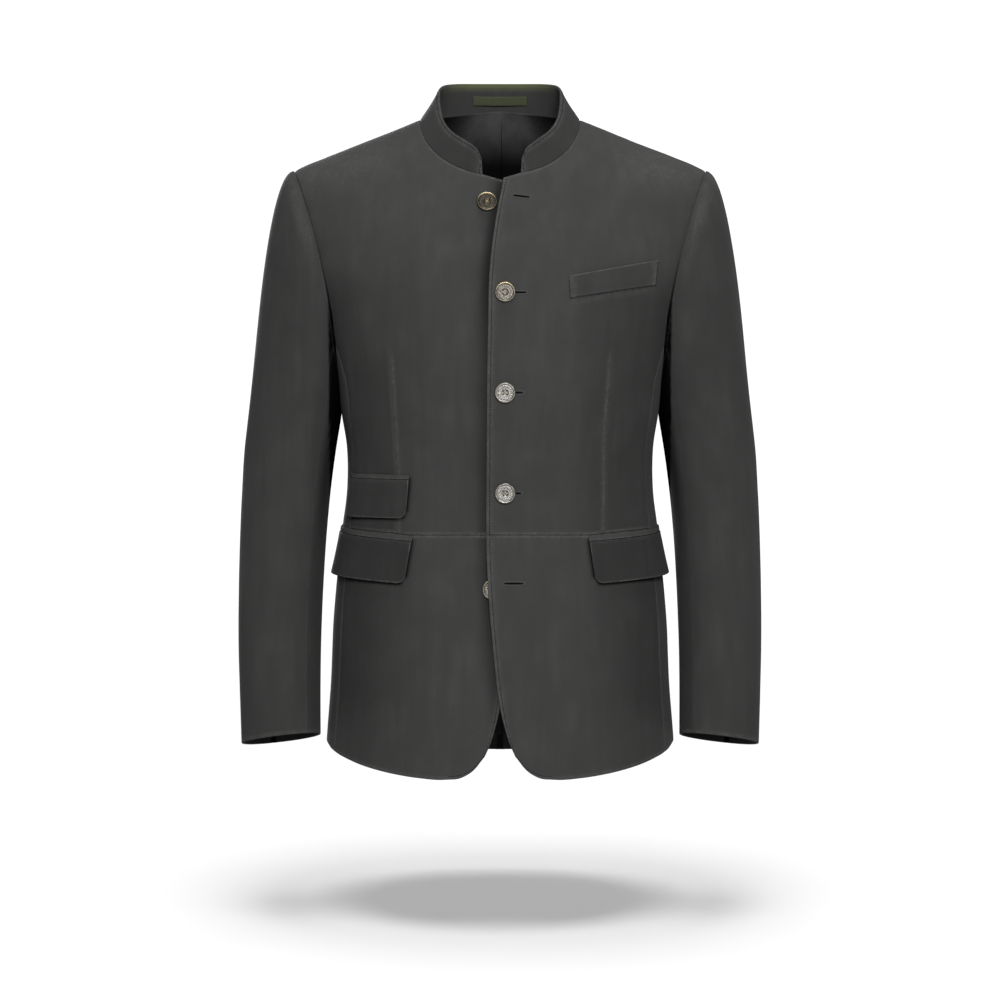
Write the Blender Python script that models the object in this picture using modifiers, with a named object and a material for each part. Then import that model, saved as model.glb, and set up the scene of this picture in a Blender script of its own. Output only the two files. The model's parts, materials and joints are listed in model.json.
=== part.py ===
"""A stand-collar suede blazer, hollow, filled out as when worn and with no wearer in it.

Metres, +Z up. The front faces -Y and +X is the wearer's left. The origin is where the wearer holds it:
on the middle plane, under the shoulder line, level with the points where the neck meets the shoulders.
"""

import math
from collections import namedtuple

import bmesh
import bpy
from mathutils import Matrix, Vector

# Cloth thicknesses and the gaps left between pieces
SUEDE = 0.0017
COLLAR_WALL = 0.0030
LINING = 0.0010
FLAP_WALL = 0.0022
JET_WALL = 0.0013
LOOP_WALL = 0.0012
SEAM_GAP = 0.0003
HALF_GAP = SEAM_GAP / 2

# The body: level sections from the neck down to the hem
TorsoRow = namedtuple("TorsoRow", "height half_width front back fullness")
TORSO = (
    TorsoRow(0.020, 0.042, 0.048, 0.064, 2.00),
    TorsoRow(0.000, 0.090, 0.056, 0.076, 2.00),
    TorsoRow(-0.020, 0.1395, 0.064, 0.086, 2.00),
    TorsoRow(-0.040, 0.1905, 0.072, 0.094, 2.00),
    TorsoRow(-0.057, 0.2300, 0.078, 0.100, 2.00),
    TorsoRow(-0.078, 0.2450, 0.086, 0.105, 2.02),
    TorsoRow(-0.105, 0.2440, 0.097, 0.110, 2.05),
    TorsoRow(-0.150, 0.2300, 0.111, 0.116, 2.10),
    TorsoRow(-0.200, 0.2130, 0.121, 0.118, 2.16),
    TorsoRow(-0.250, 0.1955, 0.126, 0.116, 2.22),
    TorsoRow(-0.290, 0.1830, 0.127, 0.112, 2.26),
    TorsoRow(-0.330, 0.1773, 0.124, 0.106, 2.30),
    TorsoRow(-0.370, 0.1724, 0.119, 0.099, 2.30),
    TorsoRow(-0.410, 0.1722, 0.115, 0.094, 2.30),
    TorsoRow(-0.450, 0.1760, 0.114, 0.092, 2.30),
    TorsoRow(-0.500, 0.1812, 0.117, 0.095, 2.32),
    TorsoRow(-0.560, 0.1864, 0.122, 0.101, 2.34),
    TorsoRow(-0.630, 0.1895, 0.127, 0.107, 2.35),
    TorsoRow(-0.700, 0.1945, 0.131, 0.111, 2.35),
    TorsoRow(-0.760, 0.1965, 0.133, 0.113, 2.35),
)

# The neck seam, the shoulder and the armhole
NECK_HALF_WIDTH = 0.090
NECK_FRONT_DROP = 0.0650
NECK_BACK_RISE = 0.010
NECK_END_SLOPE = 0.28
SHOULDER_HEIGHT = -0.057
UNDERARM_HEIGHT = -0.292
UNDERARM_OUT = 0.1822
ARMHOLE_POWER = 1.8
NECK_STEPS = 400

# Seams round the body, as turns from the centre front
SIDE_FRONT_TURN = math.radians(70)
SIDE_BACK_TURN = math.radians(116)
WAIST_SEAM = -0.4645
WAIST_RISE_FROM = 0.100
WAIST_RISE = 0.105

# The front edges: how far out from the centre each one runs, by height
EdgeRow = namedtuple("EdgeRow", "height left right")
EDGE = (
    EdgeRow(-0.0400, 0.0065, -0.0136),
    EdgeRow(-0.0694, 0.0030, -0.0136),
    EdgeRow(-0.1043, -0.0035, -0.0136),
    EdgeRow(-0.1401, -0.0089, -0.0136),
    EdgeRow(-0.1733, -0.0121, -0.0136),
    EdgeRow(-0.2325, -0.0136, -0.0136),
    EdgeRow(-0.3816, -0.0150, -0.0150),
    EdgeRow(-0.4921, -0.0145, -0.0145),
    EdgeRow(-0.5434, -0.0118, -0.0118),
    EdgeRow(-0.6007, -0.0067, -0.0067),
    EdgeRow(-0.6392, -0.0025, -0.0025),
    EdgeRow(-0.6747, 0.0044, 0.0044),
    EdgeRow(-0.7024, 0.0136, 0.0136),
    EdgeRow(-0.7132, 0.0188, 0.0188),
)
CORNER_HEIGHT = -0.7103
HEM_CROWDING = 1.35

# The hem, by turn in degrees from the centre front
HemRow = namedtuple("HemRow", "turn height")
HEM = (
    HemRow(3.4, -0.7103),
    HemRow(5.8, -0.7231),
    HemRow(9.2, -0.7322),
    HemRow(14.4, -0.7350),
    HemRow(24.0, -0.7333),
    HemRow(33.4, -0.7292),
    HemRow(46.6, -0.7215),
    HemRow(59.9, -0.7125),
    HemRow(72.2, -0.7043),
    HemRow(81.3, -0.6970),
    HemRow(90.0, -0.6945),
    HemRow(105.0, -0.6970),
    HemRow(120.0, -0.7010),
    HemRow(150.0, -0.7062),
    HemRow(180.0, -0.7077),
)

# The lap of the left front over the right one
LAP_LIFT = 0.0032
LAP_FULL_TO = 0.018
LAP_GONE_BY = 0.060
LAP_OVER_BUTTON = 0.0040
LAP_BUTTON_SPREAD = 0.045

# The sleeve: level sections below the armhole, given for the left sleeve
SleeveRow = namedtuple("SleeveRow", "height inner outer front back")
SLEEVE = (
    SleeveRow(-0.335, 0.1784, 0.2818, -0.050, 0.078),
    SleeveRow(-0.370, 0.1840, 0.2850, -0.052, 0.075),
    SleeveRow(-0.410, 0.1890, 0.2885, -0.055, 0.068),
    SleeveRow(-0.460, 0.1935, 0.2908, -0.060, 0.058),
    SleeveRow(-0.520, 0.1973, 0.2920, -0.067, 0.043),
    SleeveRow(-0.580, 0.1996, 0.2920, -0.073, 0.028),
    SleeveRow(-0.640, 0.2004, 0.2903, -0.079, 0.016),
    SleeveRow(-0.692, 0.2002, 0.2886, -0.083, 0.008),
)
SLEEVE_FULLNESS = 2.1
CUFF_TILT_OUT = -0.118
CUFF_TILT_BACK = -0.107
CAP_SHARE = 0.46
SLEEVE_LIFT = 0.0006
FORE_SEAM_TURN = math.radians(133)
HIND_SEAM_TURN = math.radians(-78)

# How the sleeve leaves the armhole: its direction, and its reach as a share of the way to the first section
CapRow = namedtuple("CapRow", "out fore down reach")
CAP_TOP = CapRow(1.0, 0.0, -0.04, 0.30)
CAP_FRONT = CapRow(0.80, -0.42, -0.45, 0.55)
CAP_UNDER = CapRow(0.02, 0.0, -1.0, 0.55)
CAP_BACK = CapRow(0.80, 0.42, -0.45, 0.55)

# The largest folds of the sleeve: their turns in degrees, heights, width in degrees and depth
FoldRow = namedtuple("FoldRow", "turn_top turn_end top end width depth")
SLEEVE_FOLDS = (
    FoldRow(38, 8, -0.215, -0.420, 16, 0.0022),
    FoldRow(104, 78, -0.330, -0.455, 18, -0.0022),
    FoldRow(60, 66, -0.470, -0.690, 26, -0.0016),
)
FOLD_FADE = 0.3

# The stand collar: its top edge by the share of its length from the front end to the centre back
CollarRow = namedtuple("CollarRow", "share out deep height")
COLLAR_TOP = (
    CollarRow(0.00, 0.0243, -0.0735, -0.0400),
    CollarRow(0.03, 0.0285, -0.0725, -0.0342),
    CollarRow(0.10, 0.0405, -0.0680, -0.0246),
    CollarRow(0.20, 0.0540, -0.0575, -0.0142),
    CollarRow(0.30, 0.0625, -0.0440, -0.0025),
    CollarRow(0.42, 0.0668, -0.0245, 0.0135),
    CollarRow(0.53, 0.0684, -0.0030, 0.0275),
    CollarRow(0.61, 0.0683, 0.0120, 0.0355),
    CollarRow(0.69, 0.0638, 0.0265, 0.0402),
    CollarRow(0.78, 0.0515, 0.0410, 0.0424),
    CollarRow(0.88, 0.0305, 0.0540, 0.0432),
    CollarRow(1.00, 0.0000, 0.0595, 0.0435),
)
COLLAR_END = {1: 0.0232, -1: 0.0195}
COLLAR_END_FADE = 0.15

# The hanger loop on the inside of the collar's back
LOOP_HALF_LENGTH = 0.033
LOOP_LOW = 0.31
LOOP_HIGH = 0.61
LOOP_BOW = 0.0018
LOOP_SEAT = 0.0010

# The back lining and the knife pleat down its middle
LINING_INSET = 0.0028
LINING_TOP_GAP = 0.0035
LINING_EDGE_GAP = 0.010
LINING_HEM_GAP = 0.018
PLEAT_FROM = -0.030
PLEAT_FOLD = 0.0022
PLEAT_LIP = 0.0010
PLEAT_DEPTH = 0.0050

# Pocket flaps and jettings, as front and back ends (turn in degrees) and heights
PocketRow = namedtuple(
    "PocketRow", "side front_turn front_top back_turn back_top lean height stand_off jet_height"
)
POCKETS = {
    "hip_left": PocketRow(1, 30.4, -0.4715, 104, -0.4570, 1.3, 0.0470, 0.0052, 0.0054),
    "hip_right": PocketRow(-1, 30, -0.4715, 104, -0.4570, 1.7, 0.0470, 0.0052, 0.0054),
    "ticket": PocketRow(-1, 32.7, -0.4030, 72, -0.4010, 0.6, 0.0430, 0.0012, 0.0048),
}
FLAP_SEAT = 0.0009
FLAP_CORNER = 0.009
LENGTH_PER_RADIAN = 0.156
FLAP_CURL = 1.5
FLAP_FRONT_LIFT = 0.35

# The breast welt: its corners on the left front, out and up
WELT_INNER = (0.0758, -0.1776)
WELT_OUTER = (0.1750, -0.1588)
WELT_INNER_LOW = (0.0769, -0.2020)
WELT_OUTER_LOW = (0.1723, -0.1866)

# Buttons, from the top one down
ButtonRow = namedtuple("ButtonRow", "out height lapped tilt")
BUTTONS = (
    ButtonRow(-0.0146, -0.0955, False, 6),
    ButtonRow(0.0056, -0.1964, True, 0),
    ButtonRow(0.0056, -0.3066, True, 0),
    ButtonRow(0.0056, -0.4181, True, 0),
    ButtonRow(-0.0083, -0.5252, False, 0),
)
BUTTON_RADIUS = 0.0113
BUTTON_DISH_RADIUS = 0.0078
BUTTON_BACK_RADIUS = 0.0098
BUTTON_HEIGHT = 0.0032
BUTTON_DISH_HEIGHT = 0.0024
BUTTON_RIM_INNER = 0.0087
BUTTON_RIM_OUTER = 0.0105
BUTTON_SIDE_TOP = 0.0023
BUTTON_SIDE_LOW = 0.0012
BUTTON_HOLE_RADIUS = 0.0011
BUTTON_HOLE_OFFSET = 0.0029
BUTTON_CLEAR = 0.0007
BUTTON_REST_RADIUS = 0.0050
BUTTON_STEPS = 16
HOLE_STEPS = 6

# Rows and columns of the body's grids, which match along the seams
SKIRT_ROWS = 7
WAIST_ROWS = 5
ARM_ROWS = 8
BARE_COLUMNS = 1
NECK_FRONT_COLUMNS = 7
NECK_BACK_COLUMNS = 6
SHOULDER_COLUMNS = 4
FRONT_COLUMNS = BARE_COLUMNS + NECK_FRONT_COLUMNS + SHOULDER_COLUMNS
BACK_COLUMNS = NECK_BACK_COLUMNS + SHOULDER_COLUMNS
FRONT_UNDERARM_SHARE = 0.49
BACK_UNDERARM_SHARE = 0.63
ROW_CROWDING = 1.7

# Grid sizes, as cells across and along each piece
GRID = {
    "front_upper": (FRONT_COLUMNS, WAIST_ROWS + ARM_ROWS),
    "front_lower": (FRONT_COLUMNS, SKIRT_ROWS),
    "side": (4, SKIRT_ROWS + WAIST_ROWS),
    "back": (BACK_COLUMNS, SKIRT_ROWS + WAIST_ROWS + ARM_ROWS),
    "sleeve_top": (11, 16),
    "sleeve_under": (7, 16),
    "collar": (2 * (NECK_FRONT_COLUMNS + NECK_BACK_COLUMNS), 3),
    "lining": (16, 14),
    "flap": (11, 5),
    "ticket": (7, 4),
    "jet": (11, 1),
    "welt": (7, 2),
    "loop": (8, 1),
}

SUEDE_COLOUR = (0.052, 0.052, 0.050)
LINING_COLOUR = (0.030, 0.030, 0.031)
LOOP_COLOUR = (0.070, 0.085, 0.036)
BUTTON_COLOUR = (0.42, 0.41, 0.36)
STEP = 1e-5


class Curve:
    """A smooth curve through one column of a table, against the table's first column."""

    def __init__(self, rows, column):
        rows = sorted(rows)
        self.at = [row[0] for row in rows]
        self.value = [getattr(row, column) for row in rows]
        gaps = [b - a for a, b in zip(self.at, self.at[1:])]
        rises = [(b - a) / gap for a, b, gap in zip(self.value, self.value[1:], gaps)]
        inner = [
            (gaps[i + 1] * rises[i] + gaps[i] * rises[i + 1]) / (gaps[i] + gaps[i + 1])
            for i in range(len(gaps) - 1)
        ]
        self.slope = [rises[0], *inner, rises[-1]]

    def __call__(self, at):
        at = min(max(at, self.at[0]), self.at[-1])
        i = 0
        while i < len(self.at) - 2 and at > self.at[i + 1]:
            i += 1
        gap = self.at[i + 1] - self.at[i]
        return hermite(
            self.value[i],
            self.slope[i] * gap,
            self.value[i + 1],
            self.slope[i + 1] * gap,
            (at - self.at[i]) / gap,
        )


def hermite(start, leave, end, arrive, t):
    """A cubic from start to end that leaves and arrives in the given directions."""
    return (
        start * (2 * t**3 - 3 * t**2 + 1)
        + leave * (t**3 - 2 * t**2 + t)
        + end * (3 * t**2 - 2 * t**3)
        + arrive * (t**3 - t**2)
    )


def smooth(value, start, end):
    """0 at start, 1 at end, with a soft change between."""
    t = min(max((value - start) / (end - start), 0), 1)
    return t * t * (3 - 2 * t)


HALF_WIDTH = Curve(TORSO, "half_width")
FRONT_DEPTH = Curve(TORSO, "front")
BACK_DEPTH = Curve(TORSO, "back")
FULLNESS = Curve(TORSO, "fullness")
EDGE_OUT = {1: Curve(EDGE, "left"), -1: Curve(EDGE, "right")}
HEM_HEIGHT = Curve(HEM, "height")
SLEEVE_COLUMNS = {name: Curve(SLEEVE, name) for name in ("inner", "outer", "front", "back")}
COLLAR_COLUMNS = {name: Curve(COLLAR_TOP, name) for name in ("out", "deep", "height")}


# The body's surface


def depth_at(height, y):
    return FRONT_DEPTH(height) if y < 0 else BACK_DEPTH(height)


def on_torso(out, height, facing):
    """The point of the body at this place in the front view, on its front (facing -1) or back (facing 1)."""
    fullness = FULLNESS(height)
    share = min(abs(out) / HALF_WIDTH(height), 1)
    deep = depth_at(height, facing) * (1 - share**fullness) ** (1 / fullness)
    return Vector((out, facing * max(deep, HALF_GAP), height))


def round_torso(turn, height):
    """The point of the body at this turn from the centre front."""
    power = 2 / FULLNESS(height)
    out = HALF_WIDTH(height) * abs(math.sin(turn)) ** power
    facing = -1 if math.cos(turn) > 0 else 1
    deep = depth_at(height, facing) * abs(math.cos(turn)) ** power
    return Vector((math.copysign(out, turn), facing * deep, height))


def turn_of(out, height):
    share = min(abs(out) / HALF_WIDTH(height), 1)
    return math.copysign(math.asin(share ** (FULLNESS(height) / 2)), out)


def fill(point, height):
    """1 on the body's section at this height, less inside it and more outside it."""
    fullness = FULLNESS(height)
    wide = abs(point.x / HALF_WIDTH(height)) ** fullness
    deep = abs(point.y / depth_at(height, point.y)) ** fullness
    return wide + deep


def outward(point):
    """The direction straight out of the body at a point of its surface."""
    fullness = FULLNESS(point.z)
    half_width = HALF_WIDTH(point.z)
    depth = depth_at(point.z, point.y)
    slope_x = fullness * abs(point.x / half_width) ** (fullness - 1) / half_width
    slope_y = fullness * abs(point.y / depth) ** (fullness - 1) / depth
    slope_z = (fill(point, point.z + STEP) - fill(point, point.z - STEP)) / (2 * STEP)
    return Vector((math.copysign(slope_x, point.x), math.copysign(slope_y, point.y), slope_z)).normalized()


def lap_lift(out, height):
    """How far the left front stands off the body where it laps over the right front."""
    over_button = math.exp(-(((height - BUTTONS[-1].height) / LAP_BUTTON_SPREAD) ** 2))
    return (LAP_LIFT + LAP_OVER_BUTTON * over_button) * smooth(out, LAP_GONE_BY, LAP_FULL_TO)


def lifted(point, distance):
    return point + outward(point) * distance


# Lines of the cut, in the front view of the left half: out from the centre, and height


def neck_spot(turn):
    """A place of the neck seam, by its turn from the centre front."""
    out = NECK_HALF_WIDTH * math.sin(turn)
    if turn < math.pi / 2:
        return Vector((out, -NECK_FRONT_DROP * math.cos(turn)))
    return Vector((out, NECK_BACK_RISE * math.cos(turn) ** 2))


def neck_point(side, turn):
    """The point of the neck seam on the body. The left front carries its end of the seam on its lap."""
    spot = neck_spot(turn)
    point = on_torso(spot.x, spot.y, -1 if turn < math.pi / 2 else 1)
    lift = lap_lift(spot.x, spot.y) if side > 0 and point.y < 0 else 0.0
    return lifted(point, lift)


def neck_lengths(side):
    """Turns along the neck seam from the collar's front end to the centre back, and the length to each."""
    first = math.asin(COLLAR_END[side] / NECK_HALF_WIDTH)
    turns = [first + (math.pi - first) * i / NECK_STEPS for i in range(NECK_STEPS + 1)]
    points = [neck_point(side, turn) for turn in turns]
    lengths = [0.0]
    for a, b in zip(points, points[1:]):
        lengths.append(lengths[-1] + (b - a).length)
    return turns, lengths


NECK = {side: neck_lengths(side) for side in (1, -1)}


def shoulder_share(side):
    """The share of the neck seam in front of the shoulder."""
    turns, lengths = NECK[side]
    return lengths[min(i for i, turn in enumerate(turns) if turn >= math.pi / 2)] / lengths[-1]


def neck_turn(side, share):
    """The turn at this share of the way along the neck seam."""
    turns, lengths = NECK[side]
    wanted = share * lengths[-1]
    i = 0
    while i < len(lengths) - 2 and lengths[i + 1] < wanted:
        i += 1
    part = (wanted - lengths[i]) / (lengths[i + 1] - lengths[i])
    return turns[i] + (turns[i + 1] - turns[i]) * part


def armhole_out(height):
    share = (height - UNDERARM_HEIGHT) / (SHOULDER_HEIGHT - UNDERARM_HEIGHT)
    return UNDERARM_OUT + (HALF_WIDTH(SHOULDER_HEIGHT) - UNDERARM_OUT) * max(share, 0) ** ARMHOLE_POWER


def armhole_height(turn):
    """The height where the armhole crosses this turn, near the underarm."""
    low, high = UNDERARM_HEIGHT, (UNDERARM_HEIGHT + SHOULDER_HEIGHT) / 2
    for _ in range(40):
        middle = (low + high) / 2
        if round_torso(turn, middle).x > armhole_out(middle):
            high = middle
        else:
            low = middle
    return low


def waist_height(out):
    return WAIST_SEAM + WAIST_RISE * max(out - WAIST_RISE_FROM, 0)


def hem_height(turn):
    return HEM_HEIGHT(math.degrees(turn))


def seam_out(turn, height):
    return round_torso(turn, height).x


SEAM_TURN = HALF_GAP / FRONT_DEPTH(WAIST_SEAM)
SIDE_WAIST = waist_height(seam_out(SIDE_FRONT_TURN, WAIST_SEAM))


def armhole_point(around):
    """A point of the left armhole: around is 0 at the shoulder and positive down the front."""
    middle = (SHOULDER_HEIGHT + UNDERARM_HEIGHT) / 2
    height = middle + (SHOULDER_HEIGHT - middle) * math.cos(around)
    return on_torso(armhole_out(height), height, -1 if math.sin(around) > 0 else 1)


# Patches of cloth


def coons(left, right, bottom, top):
    """A patch between four lines, each a function of 0 to 1. The lines meet at the patch's corners."""
    corners = (bottom(0), bottom(1), top(0), top(1))

    def patch(u, v):
        between_sides = left(v) * (1 - u) + right(v) * u
        between_ends = bottom(u) * (1 - v) + top(u) * v
        low = corners[0] * (1 - u) + corners[1] * u
        high = corners[2] * (1 - u) + corners[3] * u
        return between_sides + between_ends - (low * (1 - v) + high * v)

    return patch


def chain(first, second, share):
    """Two lines end to end, the first taking this share of the way."""
    return lambda t: first(t / share) if t < share else second((t - share) / (1 - share))


def between(start, end):
    return lambda t: start + (end - start) * t


def rows_to_shoulder(share, low_rows, low_part):
    """Even rows up to the underarm, then rows crowded towards the shoulder, where the cloth turns fastest."""
    at = share * (low_rows + ARM_ROWS)
    if at <= low_rows:
        return low_part * at / low_rows
    rest = (at - low_rows) / ARM_ROWS
    return low_part + (1 - low_part) * (1 - (1 - rest) ** ROW_CROWDING)


def shoulder_line(t):
    height = SHOULDER_HEIGHT * t
    return Vector((HALF_WIDTH(height), height))


def armhole_line(start):
    """The armhole from this height up to the shoulder, as seen from the front."""
    middle = (SHOULDER_HEIGHT + UNDERARM_HEIGHT) / 2
    half = SHOULDER_HEIGHT - middle
    first = math.acos((start - middle) / half)

    def line(t):
        height = middle + half * math.cos(first * (1 - t))
        return Vector((armhole_out(height) - HALF_GAP * (1 - t), height))

    return line


def side_line(turn, start, end):
    def line(t):
        height = start + (end - start) * t
        return Vector((seam_out(turn, height), height))

    return line


def front_upper_patch(side):
    """In the front view: the front above the waist seam."""
    edge = EDGE_OUT[side]
    turn = SIDE_FRONT_TURN - SEAM_TURN
    underarm = armhole_height(SIDE_FRONT_TURN)
    low_edge = WAIST_SEAM + HALF_GAP
    seam_end = SIDE_WAIST + HALF_GAP
    collar_end = neck_spot(neck_turn(side, 0))
    end_out = edge(collar_end.y)
    neck_end = Vector((end_out, collar_end.y - NECK_END_SLOPE * (collar_end.x - end_out)))

    def left(t):
        height = low_edge + (neck_end.y - low_edge) * t
        return Vector((edge(height) + (end_out - edge(neck_end.y)) * t, height))

    def neck(t):
        return neck_spot(neck_turn(side, shoulder_share(side) * t))

    def bottom(t):
        out = left(0).x + (seam_out(turn, seam_end) - left(0).x) * t
        return Vector((out, waist_height(out) + HALF_GAP))

    bare_neck = chain(between(neck_end, collar_end), neck, BARE_COLUMNS / (BARE_COLUMNS + NECK_FRONT_COLUMNS))
    top = chain(bare_neck, shoulder_line, 1 - SHOULDER_COLUMNS / FRONT_COLUMNS)
    right = chain(side_line(turn, seam_end, underarm), armhole_line(underarm), FRONT_UNDERARM_SHARE)
    return coons(left, right, bottom, top)


def front_lower_patch(side):
    """In turn and height: the skirt of a front, with its rounded corner between the edge and the hem."""
    edge = EDGE_OUT[side]
    turn = SIDE_FRONT_TURN - SEAM_TURN
    top_edge = WAIST_SEAM - HALF_GAP

    def left(t):
        height = CORNER_HEIGHT + (top_edge - CORNER_HEIGHT) * t
        return Vector((turn_of(edge(height), height), height))

    def bottom(t):
        at = left(0).x + (turn - left(0).x) * t**HEM_CROWDING
        return Vector((at, hem_height(at) if t > 0 else CORNER_HEIGHT))

    def top(t):
        out = edge(top_edge) + (seam_out(turn, SIDE_WAIST) - edge(top_edge)) * t
        height = waist_height(out) - HALF_GAP
        return Vector((turn_of(out, height), height))

    return coons(left, between(bottom(1), top(1)), bottom, top)


def side_patch():
    """In turn and height: the side body, from the hem up to the underarm."""
    first = SIDE_FRONT_TURN + SEAM_TURN
    last = SIDE_BACK_TURN - SEAM_TURN
    waist_share = SKIRT_ROWS / (SKIRT_ROWS + WAIST_ROWS)

    def patch(u, v):
        at = first + (last - first) * u
        skirt = between(hem_height(at), SIDE_WAIST)
        upper = between(SIDE_WAIST, armhole_height(at) - HALF_GAP)
        return Vector((at, chain(skirt, upper, waist_share)(v)))

    return patch


def back_patch(centre, edge_gap=0.0, top_gap=0.0, hem_gap=0.0):
    """In the front view: half of the back, or of its lining, which stops short of the back's edges."""
    turn = SIDE_BACK_TURN + SEAM_TURN + edge_gap / BACK_DEPTH(WAIST_SEAM)
    underarm = armhole_height(SIDE_BACK_TURN)
    low_side = hem_height(turn) + hem_gap
    low_centre = hem_height(math.pi) + hem_gap
    shoulder_end = 1 - edge_gap / (HALF_WIDTH(SHOULDER_HEIGHT) - NECK_HALF_WIDTH)
    drop = Vector((0, top_gap))

    def neck(t):
        share = 1 + (shoulder_share(1) - 1) * t
        spot = neck_spot(neck_turn(1, share)) - drop
        return Vector((max(spot.x, centre), spot.y))

    def shoulder(t):
        return shoulder_line(t * shoulder_end) - drop

    def arm(t):
        return armhole_line(underarm)(t * shoulder_end) - Vector((edge_gap * (1 - t), 0)) - drop * t

    def bottom(t):
        out = centre + (seam_out(turn, low_side) - centre) * t
        return Vector((out, hem_height(math.pi - turn_of(out, low_side)) + hem_gap))

    skirt = side_line(turn, low_side, SIDE_WAIST)
    upper = side_line(turn, SIDE_WAIST, underarm)
    below_arm = chain(skirt, upper, SKIRT_ROWS / (SKIRT_ROWS + WAIST_ROWS))
    right = chain(below_arm, arm, BACK_UNDERARM_SHARE)
    left = between(Vector((centre, low_centre)), neck(0))
    return coons(left, right, bottom, chain(neck, shoulder, NECK_BACK_COLUMNS / BACK_COLUMNS))


# The sleeve, in turn round the arm (0 outside, positive to the front) and the share of the way down


def sleeve_ring(around, height):
    """A point of the left sleeve's level section."""
    row = {name: column(height) for name, column in SLEEVE_COLUMNS.items()}
    power = 2 / SLEEVE_FULLNESS
    wide = math.copysign(abs(math.cos(around)) ** power, math.cos(around))
    deep = math.copysign(abs(math.sin(around)) ** power, math.sin(around))
    half_width = (row["outer"] - row["inner"]) / 2
    half_depth = (row["back"] - row["front"]) / 2
    tilt = smooth(height, SLEEVE[0].height, SLEEVE[-1].height)
    rise = tilt * (CUFF_TILT_OUT * half_width * wide - CUFF_TILT_BACK * half_depth * deep)
    return Vector(
        (
            (row["outer"] + row["inner"]) / 2 + half_width * wide,
            (row["back"] + row["front"]) / 2 - half_depth * deep,
            height + rise,
        )
    )


def cap_leave(around):
    """How the sleeve leaves the armhole here, as a CapRow."""
    over = max(math.cos(around), 0) ** 2
    under = max(-math.cos(around), 0) ** 2
    beside = math.sin(around) ** 2
    beside_row = CAP_FRONT if math.sin(around) > 0 else CAP_BACK
    return CapRow(*(over * a + under * b + beside * c for a, b, c in zip(CAP_TOP, CAP_UNDER, beside_row)))


def sleeve_fold(around, height):
    """How far the largest folds move the sleeve out here."""
    moved = 0.0
    for fold in SLEEVE_FOLDS:
        share = (height - fold.top) / (fold.end - fold.top)
        turn = math.radians(fold.turn_top + (fold.turn_end - fold.turn_top) * share)
        fade = smooth(share, 0, FOLD_FADE) * smooth(share, 1, 1 - FOLD_FADE)
        moved += fold.depth * fade * math.exp(-(((around - turn) / math.radians(fold.width)) ** 2))
    return moved


def bare_sleeve(around, share):
    first = SLEEVE[0].height
    if share >= CAP_SHARE:
        down = (share - CAP_SHARE) / (1 - CAP_SHARE)
        return sleeve_ring(around, first + (SLEEVE[-1].height - first) * down)
    seat = armhole_point(around)
    start = lifted(seat, SLEEVE_LIFT) + Vector((SEAM_GAP, 0, 0))
    end = sleeve_ring(around, first)
    way = (end - start).length
    leave = cap_leave(around)
    arrive = (sleeve_ring(around, first - STEP) - sleeve_ring(around, first)).normalized()
    go = Vector((leave.out, leave.fore, leave.down)).normalized() * leave.reach
    return hermite(start, go * way, end, arrive * way, share / CAP_SHARE)


def sleeve_out(around, share):
    """The direction straight out of the sleeve."""
    reach = 1e-3
    here = min(max(share, reach), 1 - reach)
    down = bare_sleeve(around, here + reach) - bare_sleeve(around, here - reach)
    across = bare_sleeve(around + reach, here) - bare_sleeve(around - reach, here)
    return across.cross(down).normalized()


def on_sleeve(side, around, share, inset):
    point = bare_sleeve(around, share)
    move = sleeve_fold(around, point.z) - inset
    point = point + sleeve_out(around, share) * move
    return Vector((side * point.x, point.y, point.z))


# The collar, by shares of its length from a front end to the centre back and of its height


def collar_surface(side, share, up):
    base = neck_point(side, neck_turn(side, share))
    end_shift = (COLLAR_END[side] - COLLAR_END[1]) * max(1 - share / COLLAR_END_FADE, 0)
    top = Vector([COLLAR_COLUMNS[name](share) for name in ("out", "deep", "height")])
    top.x += end_shift
    rise = top - base
    return base + rise.normalized() * SEAM_GAP + rise * up * (1 - SEAM_GAP / rise.length)


def collar_share(along):
    """The share of the neck seam at this share of the collar's columns, which match the body's."""
    shoulder = NECK_BACK_COLUMNS / (NECK_BACK_COLUMNS + NECK_FRONT_COLUMNS)
    return chain(between(1, shoulder_share(1)), between(shoulder_share(1), 0), shoulder)(along)


def on_collar(along, up, inset):
    """along runs from -1, the right front end, through 0, the centre back, to 1, the left front end."""
    side = 1 if along > 0 else -1
    share = collar_share(abs(along))
    reach = 1e-3
    here = min(max(share, reach), 1 - reach)
    onward = collar_surface(side, here + reach, up) - collar_surface(side, here - reach, up)
    rise = collar_surface(side, share, 1) - collar_surface(side, share, 0)
    out = onward.cross(rise).normalized()
    if share > 1 - reach:
        out = Vector((0, out.y, out.z)).normalized()
    point = collar_surface(side, share, up) - out * inset
    return Vector((side * point.x, point.y, point.z))


# Building


def principled(name, colour, roughness, metallic=0.0):
    material = bpy.data.materials.new(name)
    material.use_nodes = True
    shader = material.node_tree.nodes["Principled BSDF"]
    shader.inputs["Base Color"].default_value = (*colour, 1)
    shader.inputs["Roughness"].default_value = roughness
    shader.inputs["Metallic"].default_value = metallic
    material.diffuse_color = (*colour, 1)
    return material


def add_object(name, bm, material, collection):
    bmesh.ops.recalc_face_normals(bm, faces=bm.faces[:])
    if bm.calc_volume(signed=True) < 0:
        bmesh.ops.reverse_faces(bm, faces=bm.faces[:])
    mesh = bpy.data.meshes.new(name)
    bm.to_mesh(mesh)
    bm.free()
    obj = bpy.data.objects.new(name, mesh)
    obj.data.materials.append(material)
    collection.objects.link(obj)
    return obj


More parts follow.
